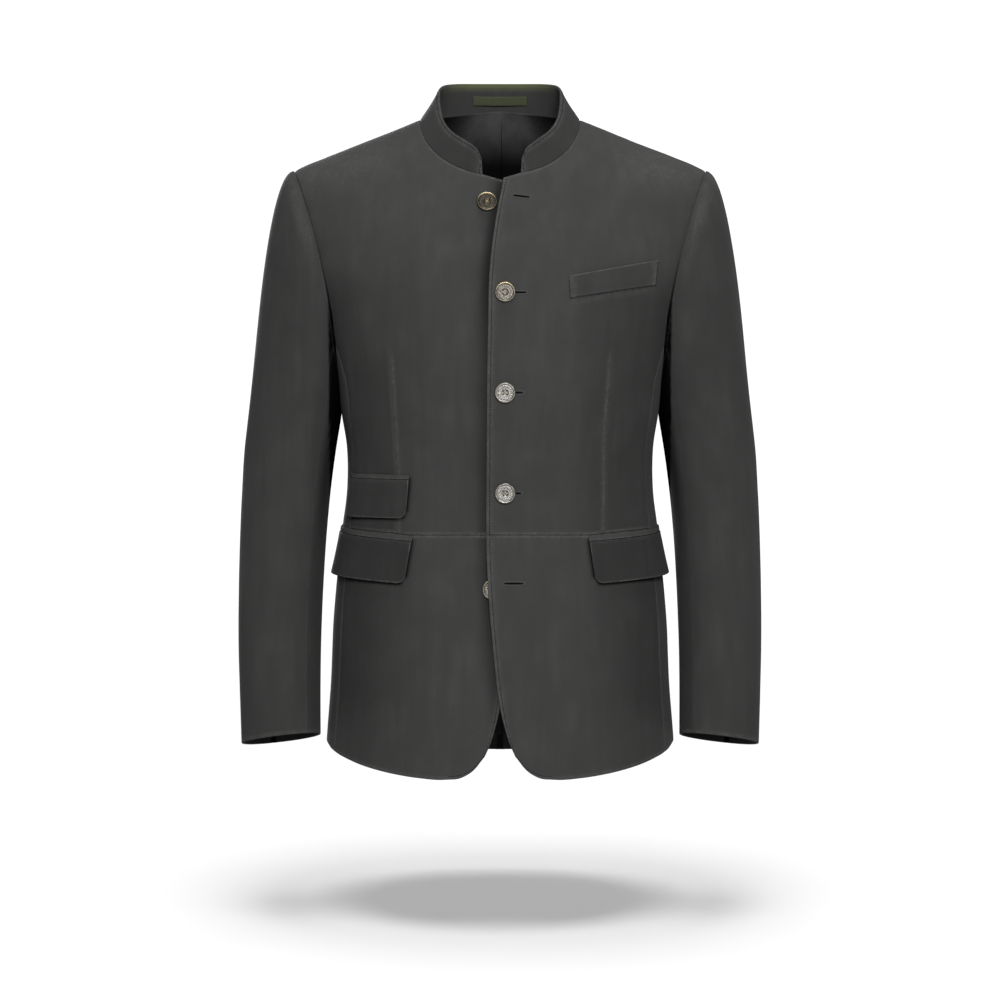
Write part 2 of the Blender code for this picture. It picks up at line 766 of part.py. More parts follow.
def wall(name, kind, place, thickness, material, collection):
    """A closed wall of cloth: a grid laid on place(u, v, inset), with its copy a thickness further in."""
    across, along = GRID[kind]
    bm = bmesh.new()
    bmesh.ops.create_grid(bm, x_segments=across, y_segments=along, size=0.5)
    extruded = bmesh.ops.extrude_face_region(bm, geom=bm.faces[:], use_keep_orig=True)["geom"]
    inner = {item for item in extruded if isinstance(item, bmesh.types.BMVert)}
    for vert in bm.verts:
        u, v = vert.co.x + 0.5, vert.co.y + 0.5
        vert.co = place(u, v, thickness if vert in inner else 0.0)
    return add_object(name, bm, material, collection)


def build_body(material, collection):
    for side, word in ((1, "left"), (-1, "right")):
        upper = front_upper_patch(side)
        lower = front_lower_patch(side)
        flank = side_patch()
        back = back_patch(HALF_GAP)

        def lift(point, side=side):
            return lap_lift(point.x, point.z) if side > 0 else 0.0

        def place_upper(u, v, inset, side=side, upper=upper, lift=lift):
            spot = upper(u, rows_to_shoulder(v, WAIST_ROWS, FRONT_UNDERARM_SHARE))
            point = on_torso(side * spot.x, spot.y, -1)
            return lifted(point, lift(point) - inset)

        def place_lower(u, v, inset, side=side, lower=lower, lift=lift):
            spot = lower(u, v)
            point = round_torso(side * spot.x, spot.y)
            return lifted(point, lift(point) - inset)

        def place_side(u, v, inset, side=side, flank=flank):
            spot = flank(u, v)
            return lifted(round_torso(side * spot.x, spot.y), -inset)

        def place_back(u, v, inset, side=side, back=back):
            spot = back(u, rows_to_shoulder(v, SKIRT_ROWS + WAIST_ROWS, BACK_UNDERARM_SHARE))
            return lifted(on_torso(side * spot.x, spot.y, 1), -inset)

        wall(f"front_upper_{word}", "front_upper", place_upper, SUEDE, material, collection)
        wall(f"front_lower_{word}", "front_lower", place_lower, SUEDE, material, collection)
        wall(f"side_{word}", "side", place_side, SUEDE, material, collection)
        wall(f"back_{word}", "back", place_back, SUEDE, material, collection)


def build_sleeves(material, collection):
    seam = SEAM_GAP / (SLEEVE[0].outer - SLEEVE[0].inner)
    spans = {
        "sleeve_top": (HIND_SEAM_TURN + seam, FORE_SEAM_TURN - seam),
        "sleeve_under": (FORE_SEAM_TURN + seam, HIND_SEAM_TURN + 2 * math.pi - seam),
    }
    for side, word in ((1, "left"), (-1, "right")):
        for kind, (first, last) in spans.items():

            def place(u, v, inset, side=side, first=first, last=last):
                around = math.remainder(first + (last - first) * u, 2 * math.pi)
                return on_sleeve(side, around, v, inset)

            wall(f"{kind}_{word}", kind, place, SUEDE, material, collection)


def build_collar(suede, loop, collection):
    def place(u, v, inset):
        return on_collar(2 * u - 1, v, inset)

    wall("collar", "collar", place, COLLAR_WALL, suede, collection)
    reach = LOOP_HALF_LENGTH / NECK[1][1][-1]

    def place_loop(u, v, inset):
        bow = LOOP_BOW * math.sin(math.pi * u)
        up = LOOP_LOW + (LOOP_HIGH - LOOP_LOW) * v
        return on_collar((2 * u - 1) * reach, up, COLLAR_WALL + LOOP_SEAT + bow + inset)

    wall("hanger_loop", "loop", place_loop, LOOP_WALL, loop, collection)


def pleat(out):
    """How far the lining's pleat stands in from the lining."""
    if out > PLEAT_FOLD:
        return 0.0
    if out > PLEAT_LIP:
        return PLEAT_DEPTH * (PLEAT_FOLD - out) / (PLEAT_FOLD - PLEAT_LIP)
    return PLEAT_DEPTH * smooth(out, PLEAT_FROM, PLEAT_LIP)


def build_lining(material, collection):
    patch = back_patch(0.0, LINING_EDGE_GAP, LINING_TOP_GAP, LINING_HEM_GAP)
    columns = GRID["lining"][0]
    fold_columns = {columns // 2: PLEAT_LIP, columns // 2 + 1: PLEAT_FOLD}

    def place(u, v, inset):
        across = 2 * u - 1
        spot = patch(abs(across), rows_to_shoulder(v, GRID["lining"][1] - ARM_ROWS, BACK_UNDERARM_SHARE))
        out = math.copysign(spot.x, across)
        out = fold_columns.get(round(u * columns), out)
        point = on_torso(out, spot.y, 1)
        return lifted(point, -SUEDE - LINING_INSET - pleat(out) - inset)

    wall("lining_back", "lining", place, LINING, material, collection)


def pocket_spot(pocket, along, down):
    """A place on the body in turn and height: along the pocket from its front end, and down from its top."""
    lean = pocket.lean * down / pocket.height * (1 - along)
    turn = pocket.front_turn + lean + (pocket.back_turn - pocket.front_turn - lean) * along
    top = pocket.front_top + (pocket.back_top - pocket.front_top) * along
    return math.radians(turn), top - down


def build_pockets(material, collection):
    for word, pocket in POCKETS.items():
        kind = "ticket" if word == "ticket" else "flap"

        def place_flap(u, v, inset, pocket=pocket):
            length = math.radians(pocket.back_turn - pocket.front_turn) * LENGTH_PER_RADIAN
            from_end = min(u, 1 - u) * length
            corner = FLAP_CORNER - math.sqrt(FLAP_CORNER**2 - max(FLAP_CORNER - from_end, 0) ** 2)
            down = SEAM_GAP + (1 - v) * (pocket.height - corner)
            turn, height = pocket_spot(pocket, u, down)
            curl = (down / pocket.height) ** FLAP_CURL * (FLAP_FRONT_LIFT + (1 - FLAP_FRONT_LIFT) * u)
            stand_off = FLAP_SEAT + pocket.stand_off * curl
            point = round_torso(pocket.side * turn, height)
            return lifted(point, stand_off + FLAP_WALL - inset)

        def place_jet(u, v, inset, pocket=pocket):
            turn, height = pocket_spot(pocket, u, -SEAM_GAP - pocket.jet_height * v)
            return lifted(round_torso(pocket.side * turn, height), FLAP_SEAT + JET_WALL - inset)

        wall(f"flap_{word}", kind, place_flap, FLAP_WALL, material, collection)
        wall(f"jet_{word}", "jet", place_jet, JET_WALL, material, collection)


def build_welt(material, collection):
    low_in, low_out = Vector(WELT_INNER_LOW), Vector(WELT_OUTER_LOW)
    high_in, high_out = Vector(WELT_INNER), Vector(WELT_OUTER)

    def place(u, v, inset):
        spot = low_in.lerp(low_out, u).lerp(high_in.lerp(high_out, u), v)
        return lifted(on_torso(spot.x, spot.y, -1), FLAP_SEAT + SUEDE - inset)

    wall("breast_welt", "welt", place, SUEDE, material, collection)


def button_profile():
    """The turned outline, from the top of the axis out and down to the bottom of the axis."""
    return (
        (0.0, BUTTON_DISH_HEIGHT),
        (BUTTON_DISH_RADIUS, BUTTON_DISH_HEIGHT),
        (BUTTON_RIM_INNER, BUTTON_HEIGHT),
        (BUTTON_RIM_OUTER, BUTTON_HEIGHT),
        (BUTTON_RADIUS, BUTTON_SIDE_TOP),
        (BUTTON_RADIUS, BUTTON_SIDE_LOW),
        (BUTTON_BACK_RADIUS, 0.0),
        (0.0, 0.0),
    )


def drill(obj, cutters):
    """The four thread holes, cut through the button."""
    for i, turn in enumerate((45, 135, 225, 315)):
        angle = math.radians(turn)
        bm = bmesh.new()
        sizes = {"radius1": BUTTON_HOLE_RADIUS, "radius2": BUTTON_HOLE_RADIUS, "depth": 4 * BUTTON_HEIGHT}
        bmesh.ops.create_cone(bm, cap_ends=True, segments=HOLE_STEPS, **sizes)
        cutter = add_object(f"{obj.name}_hole_{i + 1}", bm, obj.data.materials[0], cutters)
        offset = Vector((math.cos(angle), math.sin(angle), 0)) * BUTTON_HOLE_OFFSET
        cutter.matrix_world = obj.matrix_world @ Matrix.Translation(offset)
        cutter.hide_render = True
        cutter.display_type = "WIRE"
        cut = obj.modifiers.new(f"hole_{i + 1}", "BOOLEAN")
        cut.operation = "DIFFERENCE"
        cut.solver = "EXACT"
        cut.object = cutter


def build_buttons(material, collection, cutters):
    for i, row in enumerate(BUTTONS):
        bm = bmesh.new()
        verts = [bm.verts.new((out, 0, height)) for out, height in button_profile()]
        for a, b in zip(verts, verts[1:]):
            bm.edges.new((a, b))
        obj = add_object(f"button_{i + 1}", bm, material, collection)
        turn = obj.modifiers.new("turned", "SCREW")
        turn.axis = "Z"
        turn.steps = BUTTON_STEPS
        turn.render_steps = BUTTON_STEPS
        turn.use_merge_vertices = True
        turn.merge_threshold = 1e-5
        turn.use_smooth_shade = False
        seat = on_torso(row.out, row.height, -1)
        out = outward(seat)
        tilt = Matrix.Rotation(math.radians(row.tilt), 3, "Z")
        facing = (tilt @ out).to_track_quat("Z", "Y").to_matrix().to_4x4()
        clear = BUTTON_CLEAR + BUTTON_REST_RADIUS * math.sin(math.radians(row.tilt))
        lift = lap_lift(row.out, row.height) if row.lapped else 0.0
        obj.matrix_world = Matrix.Translation(seat + out * (lift + clear)) @ facing
        drill(obj, cutters)


def main():
    for obj in list(bpy.data.objects):
        bpy.data.objects.remove(obj, do_unlink=True)
    collection = bpy.data.collections.new("blazer")
    cutters = bpy.data.collections.new("cutters")
    bpy.context.scene.collection.children.link(collection)
    bpy.context.scene.collection.children.link(cutters)
    suede = principled("suede", SUEDE_COLOUR, 0.95)
    lining = principled("lining", LINING_COLOUR, 0.45)
    loop = principled("loop", LOOP_COLOUR, 0.8)
    metal = principled("button_metal", BUTTON_COLOUR, 0.35, 1.0)
    build_body(suede, collection)
    build_sleeves(suede, collection)
    build_collar(suede, loop, collection)
    build_lining(lining, collection)
    build_pockets(suede, collection)
    build_welt(suede, collection)
    build_buttons(metal, collection, cutters)


main()
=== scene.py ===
"""The looks of a stand-collar suede blazer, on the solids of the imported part.

Fine cloth is laid on the same forms as the solids, then creased, sewn and buttoned.
Metres, +Z up, the front faces -Y and +X is the wearer's left.
A side is 1 for the left and -1 for the right.
"""

import json
import math
from collections import namedtuple

import bpy
import numpy as np
from mathutils import Matrix, Vector, noise

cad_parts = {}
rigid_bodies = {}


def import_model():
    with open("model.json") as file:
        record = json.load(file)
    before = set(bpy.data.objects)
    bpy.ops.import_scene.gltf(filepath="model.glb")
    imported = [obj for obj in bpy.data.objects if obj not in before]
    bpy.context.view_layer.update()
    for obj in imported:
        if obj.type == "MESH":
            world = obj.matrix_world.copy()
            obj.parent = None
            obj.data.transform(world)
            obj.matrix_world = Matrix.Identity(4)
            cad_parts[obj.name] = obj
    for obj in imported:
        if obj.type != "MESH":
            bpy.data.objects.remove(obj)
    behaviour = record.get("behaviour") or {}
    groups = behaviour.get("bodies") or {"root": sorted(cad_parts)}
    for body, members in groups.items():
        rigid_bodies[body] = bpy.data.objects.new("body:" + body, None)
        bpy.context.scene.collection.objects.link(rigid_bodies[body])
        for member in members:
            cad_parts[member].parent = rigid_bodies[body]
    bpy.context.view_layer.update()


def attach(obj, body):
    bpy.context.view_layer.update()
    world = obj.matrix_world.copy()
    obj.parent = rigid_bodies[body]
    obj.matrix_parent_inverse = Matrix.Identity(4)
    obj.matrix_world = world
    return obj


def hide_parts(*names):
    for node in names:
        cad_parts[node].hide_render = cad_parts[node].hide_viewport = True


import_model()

# Cloth thicknesses and the gaps left between pieces
SUEDE = 0.0017
COLLAR_WALL = 0.0030
LINING = 0.0010
FLAP_WALL = 0.0022
JET_WALL = 0.0013
LOOP_WALL = 0.0012
SEAM_GAP = 0.0003
HALF_GAP = SEAM_GAP / 2

# The body: level sections from the neck down to the hem
TorsoRow = namedtuple("TorsoRow", "height half_width front back fullness")
TORSO = (
    TorsoRow(0.020, 0.042, 0.048, 0.064, 2.00),
    TorsoRow(0.000, 0.090, 0.056, 0.076, 2.00),
    TorsoRow(-0.020, 0.1395, 0.064, 0.086, 2.00),
    TorsoRow(-0.040, 0.1905, 0.072, 0.094, 2.00),
    TorsoRow(-0.057, 0.2300, 0.078, 0.100, 2.00),
    TorsoRow(-0.078, 0.2450, 0.086, 0.105, 2.02),
    TorsoRow(-0.105, 0.2440, 0.097, 0.110, 2.05),
    TorsoRow(-0.150, 0.2300, 0.111, 0.116, 2.10),
    TorsoRow(-0.200, 0.2130, 0.121, 0.118, 2.16),
    TorsoRow(-0.250, 0.1955, 0.126, 0.116, 2.22),
    TorsoRow(-0.290, 0.1830, 0.127, 0.112, 2.26),
    TorsoRow(-0.330, 0.1773, 0.124, 0.106, 2.30),
    TorsoRow(-0.370, 0.1724, 0.119, 0.099, 2.30),
    TorsoRow(-0.410, 0.1722, 0.115, 0.094, 2.30),
    TorsoRow(-0.450, 0.1760, 0.114, 0.092, 2.30),
    TorsoRow(-0.500, 0.1812, 0.117, 0.095, 2.32),
    TorsoRow(-0.560, 0.1864, 0.122, 0.101, 2.34),
    TorsoRow(-0.630, 0.1895, 0.127, 0.107, 2.35),
    TorsoRow(-0.700, 0.1945, 0.131, 0.111, 2.35),
    TorsoRow(-0.760, 0.1965, 0.133, 0.113, 2.35),
)

# The neck seam, the shoulder and the armhole
NECK_HALF_WIDTH = 0.090
NECK_FRONT_DROP = 0.0650
NECK_BACK_RISE = 0.010
NECK_END_SLOPE = 0.28
SHOULDER_HEIGHT = -0.057
UNDERARM_HEIGHT = -0.292
UNDERARM_OUT = 0.1822
ARMHOLE_POWER = 1.8

# Seams round the body, as turns from the centre front
SIDE_FRONT_TURN = math.radians(70)
SIDE_BACK_TURN = math.radians(116)
WAIST_SEAM = -0.4645
WAIST_RISE_FROM = 0.100
WAIST_RISE = 0.105

# The front edges: how far out from the centre each one runs, by height
EdgeRow = namedtuple("EdgeRow", "height left right")
EDGE = (
    EdgeRow(-0.0400, 0.0065, -0.0136),
    EdgeRow(-0.0694, 0.0030, -0.0136),
    EdgeRow(-0.1043, -0.0035, -0.0136),
    EdgeRow(-0.1401, -0.0089, -0.0136),
    EdgeRow(-0.1733, -0.0121, -0.0136),
    EdgeRow(-0.2325, -0.0136, -0.0136),
    EdgeRow(-0.3816, -0.0150, -0.0150),
    EdgeRow(-0.4921, -0.0145, -0.0145),
    EdgeRow(-0.5434, -0.0118, -0.0118),
    EdgeRow(-0.6007, -0.0067, -0.0067),
    EdgeRow(-0.6392, -0.0025, -0.0025),
    EdgeRow(-0.6747, 0.0044, 0.0044),
    EdgeRow(-0.7024, 0.0136, 0.0136),
    EdgeRow(-0.7132, 0.0188, 0.0188),
)
CORNER_HEIGHT = -0.7103
HEM_CROWDING = 1.35

# The hem, by turn in degrees from the centre front
HemRow = namedtuple("HemRow", "turn height")
HEM = (
    HemRow(3.4, -0.7103),
    HemRow(5.8, -0.7231),
    HemRow(9.2, -0.7322),
    HemRow(14.4, -0.7350),
    HemRow(24.0, -0.7333),
    HemRow(33.4, -0.7292),
    HemRow(46.6, -0.7215),
    HemRow(59.9, -0.7125),
    HemRow(72.2, -0.7043),
    HemRow(81.3, -0.6970),
    HemRow(90.0, -0.6945),
    HemRow(105.0, -0.6970),
    HemRow(120.0, -0.7010),
    HemRow(150.0, -0.7062),
    HemRow(180.0, -0.7077),
)

# The lap of the left front over the right one
LAP_LIFT = 0.0032
LAP_ACROSS = (0.060, 0.018)
LAP_OVER_BUTTON = 0.0040
LAP_BUTTON_SPREAD = 0.045

# The sleeve: level sections below the armhole, given for the left sleeve
SleeveRow = namedtuple("SleeveRow", "height inner outer front back")
SLEEVE = (
    SleeveRow(-0.335, 0.1784, 0.2818, -0.050, 0.078),
    SleeveRow(-0.370, 0.1840, 0.2850, -0.052, 0.075),
    SleeveRow(-0.410, 0.1890, 0.2885, -0.055, 0.068),
    SleeveRow(-0.460, 0.1935, 0.2908, -0.060, 0.058),
    SleeveRow(-0.520, 0.1973, 0.2920, -0.067, 0.043),
    SleeveRow(-0.580, 0.1996, 0.2920, -0.073, 0.028),
    SleeveRow(-0.640, 0.2004, 0.2903, -0.079, 0.016),
    SleeveRow(-0.692, 0.2002, 0.2886, -0.083, 0.008),
)
SLEEVE_FULLNESS = 2.1
CUFF_TILT_OUT = -0.118
CUFF_TILT_BACK = -0.107
CAP_SHARE = 0.46
SLEEVE_LIFT = 0.0006
FORE_SEAM_TURN = math.radians(133)
HIND_SEAM_TURN = math.radians(-78)

# How the sleeve leaves the armhole: its direction, and its reach to the first level section as a share
CapRow = namedtuple("CapRow", "out fore down reach")
CAP_TOP = CapRow(1.0, 0.0, -0.04, 0.30)
CAP_FRONT = CapRow(0.80, -0.42, -0.45, 0.55)
CAP_UNDER = CapRow(0.02, 0.0, -1.0, 0.55)
CAP_BACK = CapRow(0.80, 0.42, -0.45, 0.55)

# The largest folds of the sleeve: turns and width in degrees, heights and depth
FoldRow = namedtuple("FoldRow", "turn_top turn_end top end width depth")
SLEEVE_FOLDS = (
    FoldRow(38, 8, -0.215, -0.420, 16, 0.0022),
    FoldRow(104, 78, -0.330, -0.455, 18, -0.0022),
    FoldRow(60, 66, -0.470, -0.690, 26, -0.0016),
)
FOLD_FADE = 0.3

# The stand collar: its top edge by the share of its length from the front end to the centre back
CollarRow = namedtuple("CollarRow", "share out deep height")
COLLAR_TOP = (
    CollarRow(0.00, 0.0243, -0.0735, -0.0400),
    CollarRow(0.03, 0.0285, -0.0725, -0.0342),
    CollarRow(0.10, 0.0405, -0.0680, -0.0246),
    CollarRow(0.20, 0.0540, -0.0575, -0.0142),
    CollarRow(0.30, 0.0625, -0.0440, -0.0025),
    CollarRow(0.42, 0.0668, -0.0245, 0.0135),
    CollarRow(0.53, 0.0684, -0.0030, 0.0275),
    CollarRow(0.61, 0.0683, 0.0120, 0.0355),
    CollarRow(0.69, 0.0638, 0.0265, 0.0402),
    CollarRow(0.78, 0.0515, 0.0410, 0.0424),
    CollarRow(0.88, 0.0305, 0.0540, 0.0432),
    CollarRow(1.00, 0.0000, 0.0595, 0.0435),
)
COLLAR_END = {1: 0.0232, -1: 0.0195}
COLLAR_END_FADE = 0.15

# The hanger loop on the inside of the collar's back
LOOP_HALF_LENGTH = 0.033
LOOP_LOW = 0.31
LOOP_HIGH = 0.61
LOOP_BOW = 0.0018
LOOP_SEAT = 0.0010

# The back lining and the knife pleat down its middle
LINING_INSET = 0.0028
LINING_TOP_GAP = -0.0048
LINING_EDGE_GAP = 0.010
LINING_HEM_GAP = 0.018
PLEAT_FROM = -0.030
PLEAT_FOLD = 0.0022
PLEAT_LIP = 0.0010
PLEAT_DEPTH = 0.0050
PLEAT_OPEN_FROM = 0.95

# Pocket flaps and jettings, as front and back ends (turn in degrees) and heights
PocketRow = namedtuple(
    "PocketRow", "side front_turn front_top back_turn back_top lean height stand_off jet_height"
)
POCKETS = {
    "hip_left": PocketRow(1, 30.4, -0.4715, 104, -0.4570, 1.3, 0.0470, 0.0052, 0.0054),
    "hip_right": PocketRow(-1, 30, -0.4715, 104, -0.4570, 1.7, 0.0470, 0.0052, 0.0054),
    "ticket": PocketRow(-1, 32.7, -0.4030, 72, -0.4010, 0.6, 0.0430, 0.0012, 0.0048),
}
FLAP_SEAT = 0.0009
FLAP_CORNER = 0.009
LENGTH_PER_RADIAN = 0.156
FLAP_CURL = 1.5
FLAP_FRONT_LIFT = 0.35

# The breast welt: its corners on the left front, out and up
WELT_INNER = (0.0758, -0.1776)
WELT_OUTER = (0.1750, -0.1588)
WELT_INNER_LOW = (0.0769, -0.2020)
WELT_OUTER_LOW = (0.1723, -0.1866)

# Buttons, from the top one down
ButtonRow = namedtuple("ButtonRow", "out height lapped tilt")
BUTTONS = (
    ButtonRow(-0.0146, -0.0955, False, 6),
    ButtonRow(0.0056, -0.1964, True, 0),
    ButtonRow(0.0056, -0.3066, True, 0),
    ButtonRow(0.0056, -0.4181, True, 0),
    ButtonRow(-0.0083, -0.5252, False, 0),
)
BUTTON_RADIUS = 0.0113
BUTTON_HOLE_RADIUS = 0.0011
BUTTON_HOLE_OFFSET = 0.0029
BUTTON_HOLE_TURNS = np.radians((45, 135, 225, 315))
BUTTON_CLEAR = 0.0007
BUTTON_REST_RADIUS = 0.0050

# Shares of the panels' edges, as on the solids
BARE_SHARE = 1 / 12
SHOULDER_FROM = 2 / 3
BACK_SHOULDER_FROM = 0.6
FRONT_UNDERARM_SHARE = 0.49
BACK_UNDERARM_SHARE = 0.63
CENTRE_BACK = 0.5

# Steps for finding lines and slopes
NECK_STEPS = 400
HALVINGS = 40
STEP = 1e-5
TINY = 1e-12

# The collar's cloth: tucked in below the neck seam, with rounded front corners
COLLAR_LENGTH = 0.40
COLLAR_TUCK = 0.045
COLLAR_TUCK_DEPTH = 0.0012
COLLAR_CORNER = 0.010
COLLAR_END_HEIGHT = 0.030

# Grids of the fine cloth: each way's rough length, its cells' size and its zone of small cells by an edge
FINE_CELL = 0.0024
JET_CELL = 0.0008
JET_ZONE = 0.0022
EDGE_CELLS = 10
EDGE_CROWDING = 1.5
Way = namedtuple("Way", "length cell zone", defaults=(0.004, 0.006))
FRONT_UPPER_GRID = Way(0.24, FINE_CELL), Way(0.42, FINE_CELL)
FRONT_LOWER_GRID = Way(0.20, FINE_CELL), Way(0.26, FINE_CELL)
SIDE_GRID = Way(0.11), Way(0.46)
BACK_GRID = Way(0.23), Way(0.70)
COLLAR_GRID = Way(COLLAR_LENGTH, FINE_CELL), Way(0.040, 0.0016, 0.005)
LOOP_GRID = Way(0.066, 0.002, 0.003), Way(0.011, 0.001, 0.003)
WELT_GRID = Way(0.11, FINE_CELL), Way(0.026, FINE_CELL)
SLEEVE_WAY = Way(0.62)
LINING_WAY = Way(0.66)
LiningRow = namedtuple("LiningRow", "start end cells")
LINING_ACROSS = (
    LiningRow(-1.0, -0.16, 46),
    LiningRow(-0.16, -0.02, 30),
    LiningRow(-0.02, 0.03, 40),
    LiningRow(0.03, 1.0, 56),
)

# Shares of a piece's length that have a row of points
FRONT_BREAKS = (FRONT_UNDERARM_SHARE, 0.9, 0.96)
BACK_BREAKS = (BACK_UNDERARM_SHARE, 0.9, 0.97)
LINING_BREAKS = (BACK_UNDERARM_SHARE, 0.9)

# Places well inside the body and the left sleeve, away from which the cloth faces
BODY_MIDDLE = (0, 0, -0.4)
ARM_MIDDLE = (0.235, 0.0, -0.45)

# Unevenness of the cloth, and of its worn edges and painted highlights
SWAY = 0.0004
LINED_SWAY = 0.0003
STIFF_SWAY = 0.0002
JET_SWAY = 0.0001
SWAY_SCALE = (22, 22, 9)
SWAY_SEED = 3.1
PUCKER_SCALE = 90
PUCKER_SEED = 7.7
WEAR_AND_HIGHLIGHT_EVEN = 0.75
WEAR_AND_HIGHLIGHT_UNEVEN = 0.50
WEAR_AND_HIGHLIGHT_SCALE = 140
WEAR_AND_HIGHLIGHT_SEED = 11.3

# A piece's edges, in the order of its looks
LEFT, RIGHT, BOTTOM, TOP = range(4)

# How an edge looks: its rounding, how far it is rubbed pale, a seam's pull on it and its row of stitches
EdgeLook = namedtuple("EdgeLook", "roll rub rub_width dip stitched", defaults=(0.0, 0.0))
SEAM = EdgeLook(0.0012, 0.16, 0.0035, dip=0.0005)
PLAIN_SEAM = EdgeLook(0.0012, 0.05, 0.0035, dip=0.0005)
RUBBED_SEAM = EdgeLook(0.0012, 0.60, 0.0030, dip=0.0005)
CUT_EDGE = EdgeLook(0.0014, 0.85, 0.0014)
SEWN_EDGE = EdgeLook(0.0015, 0.50, 0.0072, stitched=0.0038)
WELT_END = EdgeLook(0.0012, 0.40, 0.0085)
TURNED_EDGE = EdgeLook(0.0008, 0.0, 0.0030)
HEM_EDGE = EdgeLook(0.0015, 0.40, 0.0045)
ROUND_SHARE = 0.42
DIP_WIDTH = 0.007
GROOVE_DEPTH = 0.0004
GROOVE_WIDTH = 0.0009

# Seam allowances: on which edges of a piece, and between which shares of the edge
ALLOWANCES = {
    "front_upper": {RIGHT: (0, 0.53), BOTTOM: (0.02, 1), TOP: (0.66, 0.94)},
    "front_lower": {RIGHT: (0, 1), TOP: (0.02, 1)},
    "side": {LEFT: (0, 1), RIGHT: (0, 1), TOP: (0, 1)},
    "back": {LEFT: (0, 1), RIGHT: (0, 0.67), TOP: (0.60, 0.94)},
    "sleeve": {LEFT: (0, 1), RIGHT: (0, 1), BOTTOM: (0, 1)},
}
ALLOWANCE_IN = 0.003
ALLOWANCE_OUT = 0.0045
ALLOWANCE_DROP = 0.0009

# Front darts, from the waist seam up
DartRow = namedtuple("DartRow", "height out")
DARTS = {
    1: (DartRow(-0.4600, 0.1171), DartRow(-0.3547, 0.1185), DartRow(-0.2500, 0.1256)),
    -1: (
        DartRow(-0.4610, 0.1150),
        DartRow(-0.3957, 0.1150),
        DartRow(-0.3470, 0.1182),
        DartRow(-0.2500, 0.1236),
    ),
}
DART_SHARE = 0.69
DART_REACH = 0.1
DART_COLUMNS = 25
DART_TRIES = 3
DART_FOLLOWED = (1.0, 0.7)
DART_DEPTH = 0.0007
DART_WIDTH = 0.0011
DART_FADE = 0.030
DART_RUB = 0.52
DART_RUB_WIDTH = 0.0024
DART_RUB_SHIFT = 0.0024

# Painted shade and painted highlights on the nap: the most of each, and its fades across and by height
Mark = namedtuple("Mark", "most across heights")
# Painted shade on the upper fronts: beyond the dart, down the flanks and by the armholes
DART_SHADE = Mark(0.26, (-0.001, 0.004), (-0.20, -0.30))
FLANK_MOST = {1: 0.24, -1: 0.14}
FLANK_SHADE = {side: Mark(most, (0.072, 0.120), (-0.150, -0.215)) for side, most in FLANK_MOST.items()}
ARMHOLE_SHADE = Mark(0.42, (0.145, 0.186), (-0.150, -0.215))
# Painted highlights on the tops of the shoulders and on the sleeve heads by the armholes
SHOULDER_HIGHLIGHT = Mark(0.30, (0.090, 0.190), (-0.100, -0.050))
CAP_HIGHLIGHT = Mark(0.34, (0.001, 0.007), (-0.190, -0.120))
CAP_HIGHLIGHT_END = (0.022, 0.010)
# Painted shade under the arms and down the sleeves' sides that face the body
ARMPIT_SHADE = Mark(1.0, (0.193, 0.190), (-0.185, -0.215))
INNER_ARM_SHADE = Mark(0.70, (2.15, 2.60), (-0.60, -0.38))

# Painted shade on each piece and inside it, a painted highlight below the welt, and where they fade
# Painted shade over the flaps
FLAP_SHADES = {"hip_left": 0.42, "hip_right": 0.42, "ticket": 0.32}
# Painted shadows beside the flaps' edges
FLAP_CAST = 0.97
FLAP_CAST_WIDTH = 0.0038
FLAP_SAMPLES = 40
# Painted shade over the welt, and a painted shadow under its lower seam
WELT_SHADE = 0.14
WELT_SEAM_SHADE = 0.75
WELT_SEAM_WIDTH = 0.0014
# Painted highlight on the front below the welt
WELT_HIGHLIGHT = 0.26
WELT_HIGHLIGHT_DROP = 0.0040
WELT_END_FADE = 0.03
# Painted shade over the sleeves, and on the armhole's seam allowance lower down
SLEEVE_SHADES = {"sleeve_top": 0.16, "sleeve_under": 0.36}
SLEEVE_SEAM_HEIGHTS = (-0.125, -0.225)
# Painted shadow on the right front beside the lap of the left front
LAP_SHADE = 0.50
LAP_TOP_SHADE = 0.74
LAP_TOP_HEIGHTS = (-0.29, -0.18)
LAP_SHADE_WIDTH = 0.011
LAP_SAMPLES = 60
# Painted shade over the collar, and inside it towards its front ends
COLLAR_SHADE = 0.34
COLLAR_INSIDE_SHADE = 0.80
COLLAR_INSIDE_ALONG = (0.22, 0.50)
# Painted shade on the side panels and down the skirts' flanks, less near the hem
SIDE_PANEL_SHADE = 0.10
SKIRT_SHADE = 0.36
SKIRT_SHADE_ACROSS = (0.068, 0.165)
HEM_PALER = 0.45
HEM_PALER_HEIGHTS = (-0.64, -0.70)
# Painted shade on the insides of the shell
INSIDE_SHADE = 0.90
# Painted shade on the back lining: darker down it and towards its sides
LINING_SHADE = 0.960
LINING_SHADE_HEIGHTS = (0.004, -0.050)
LINING_SIDE_SHADE = 0.70
LINING_SIDE_ACROSS = (0.022, 0.060)

# The olive tint at the back of the collar, inside and over its top edge
OLIVE_UP = (0.72, 0.95)
OLIVE_ALONG = (0.40, 0.12)
OLIVE_OUTSIDE = 0.35
OLIVE_OUTSIDE_UP = (0.93, 1.0)

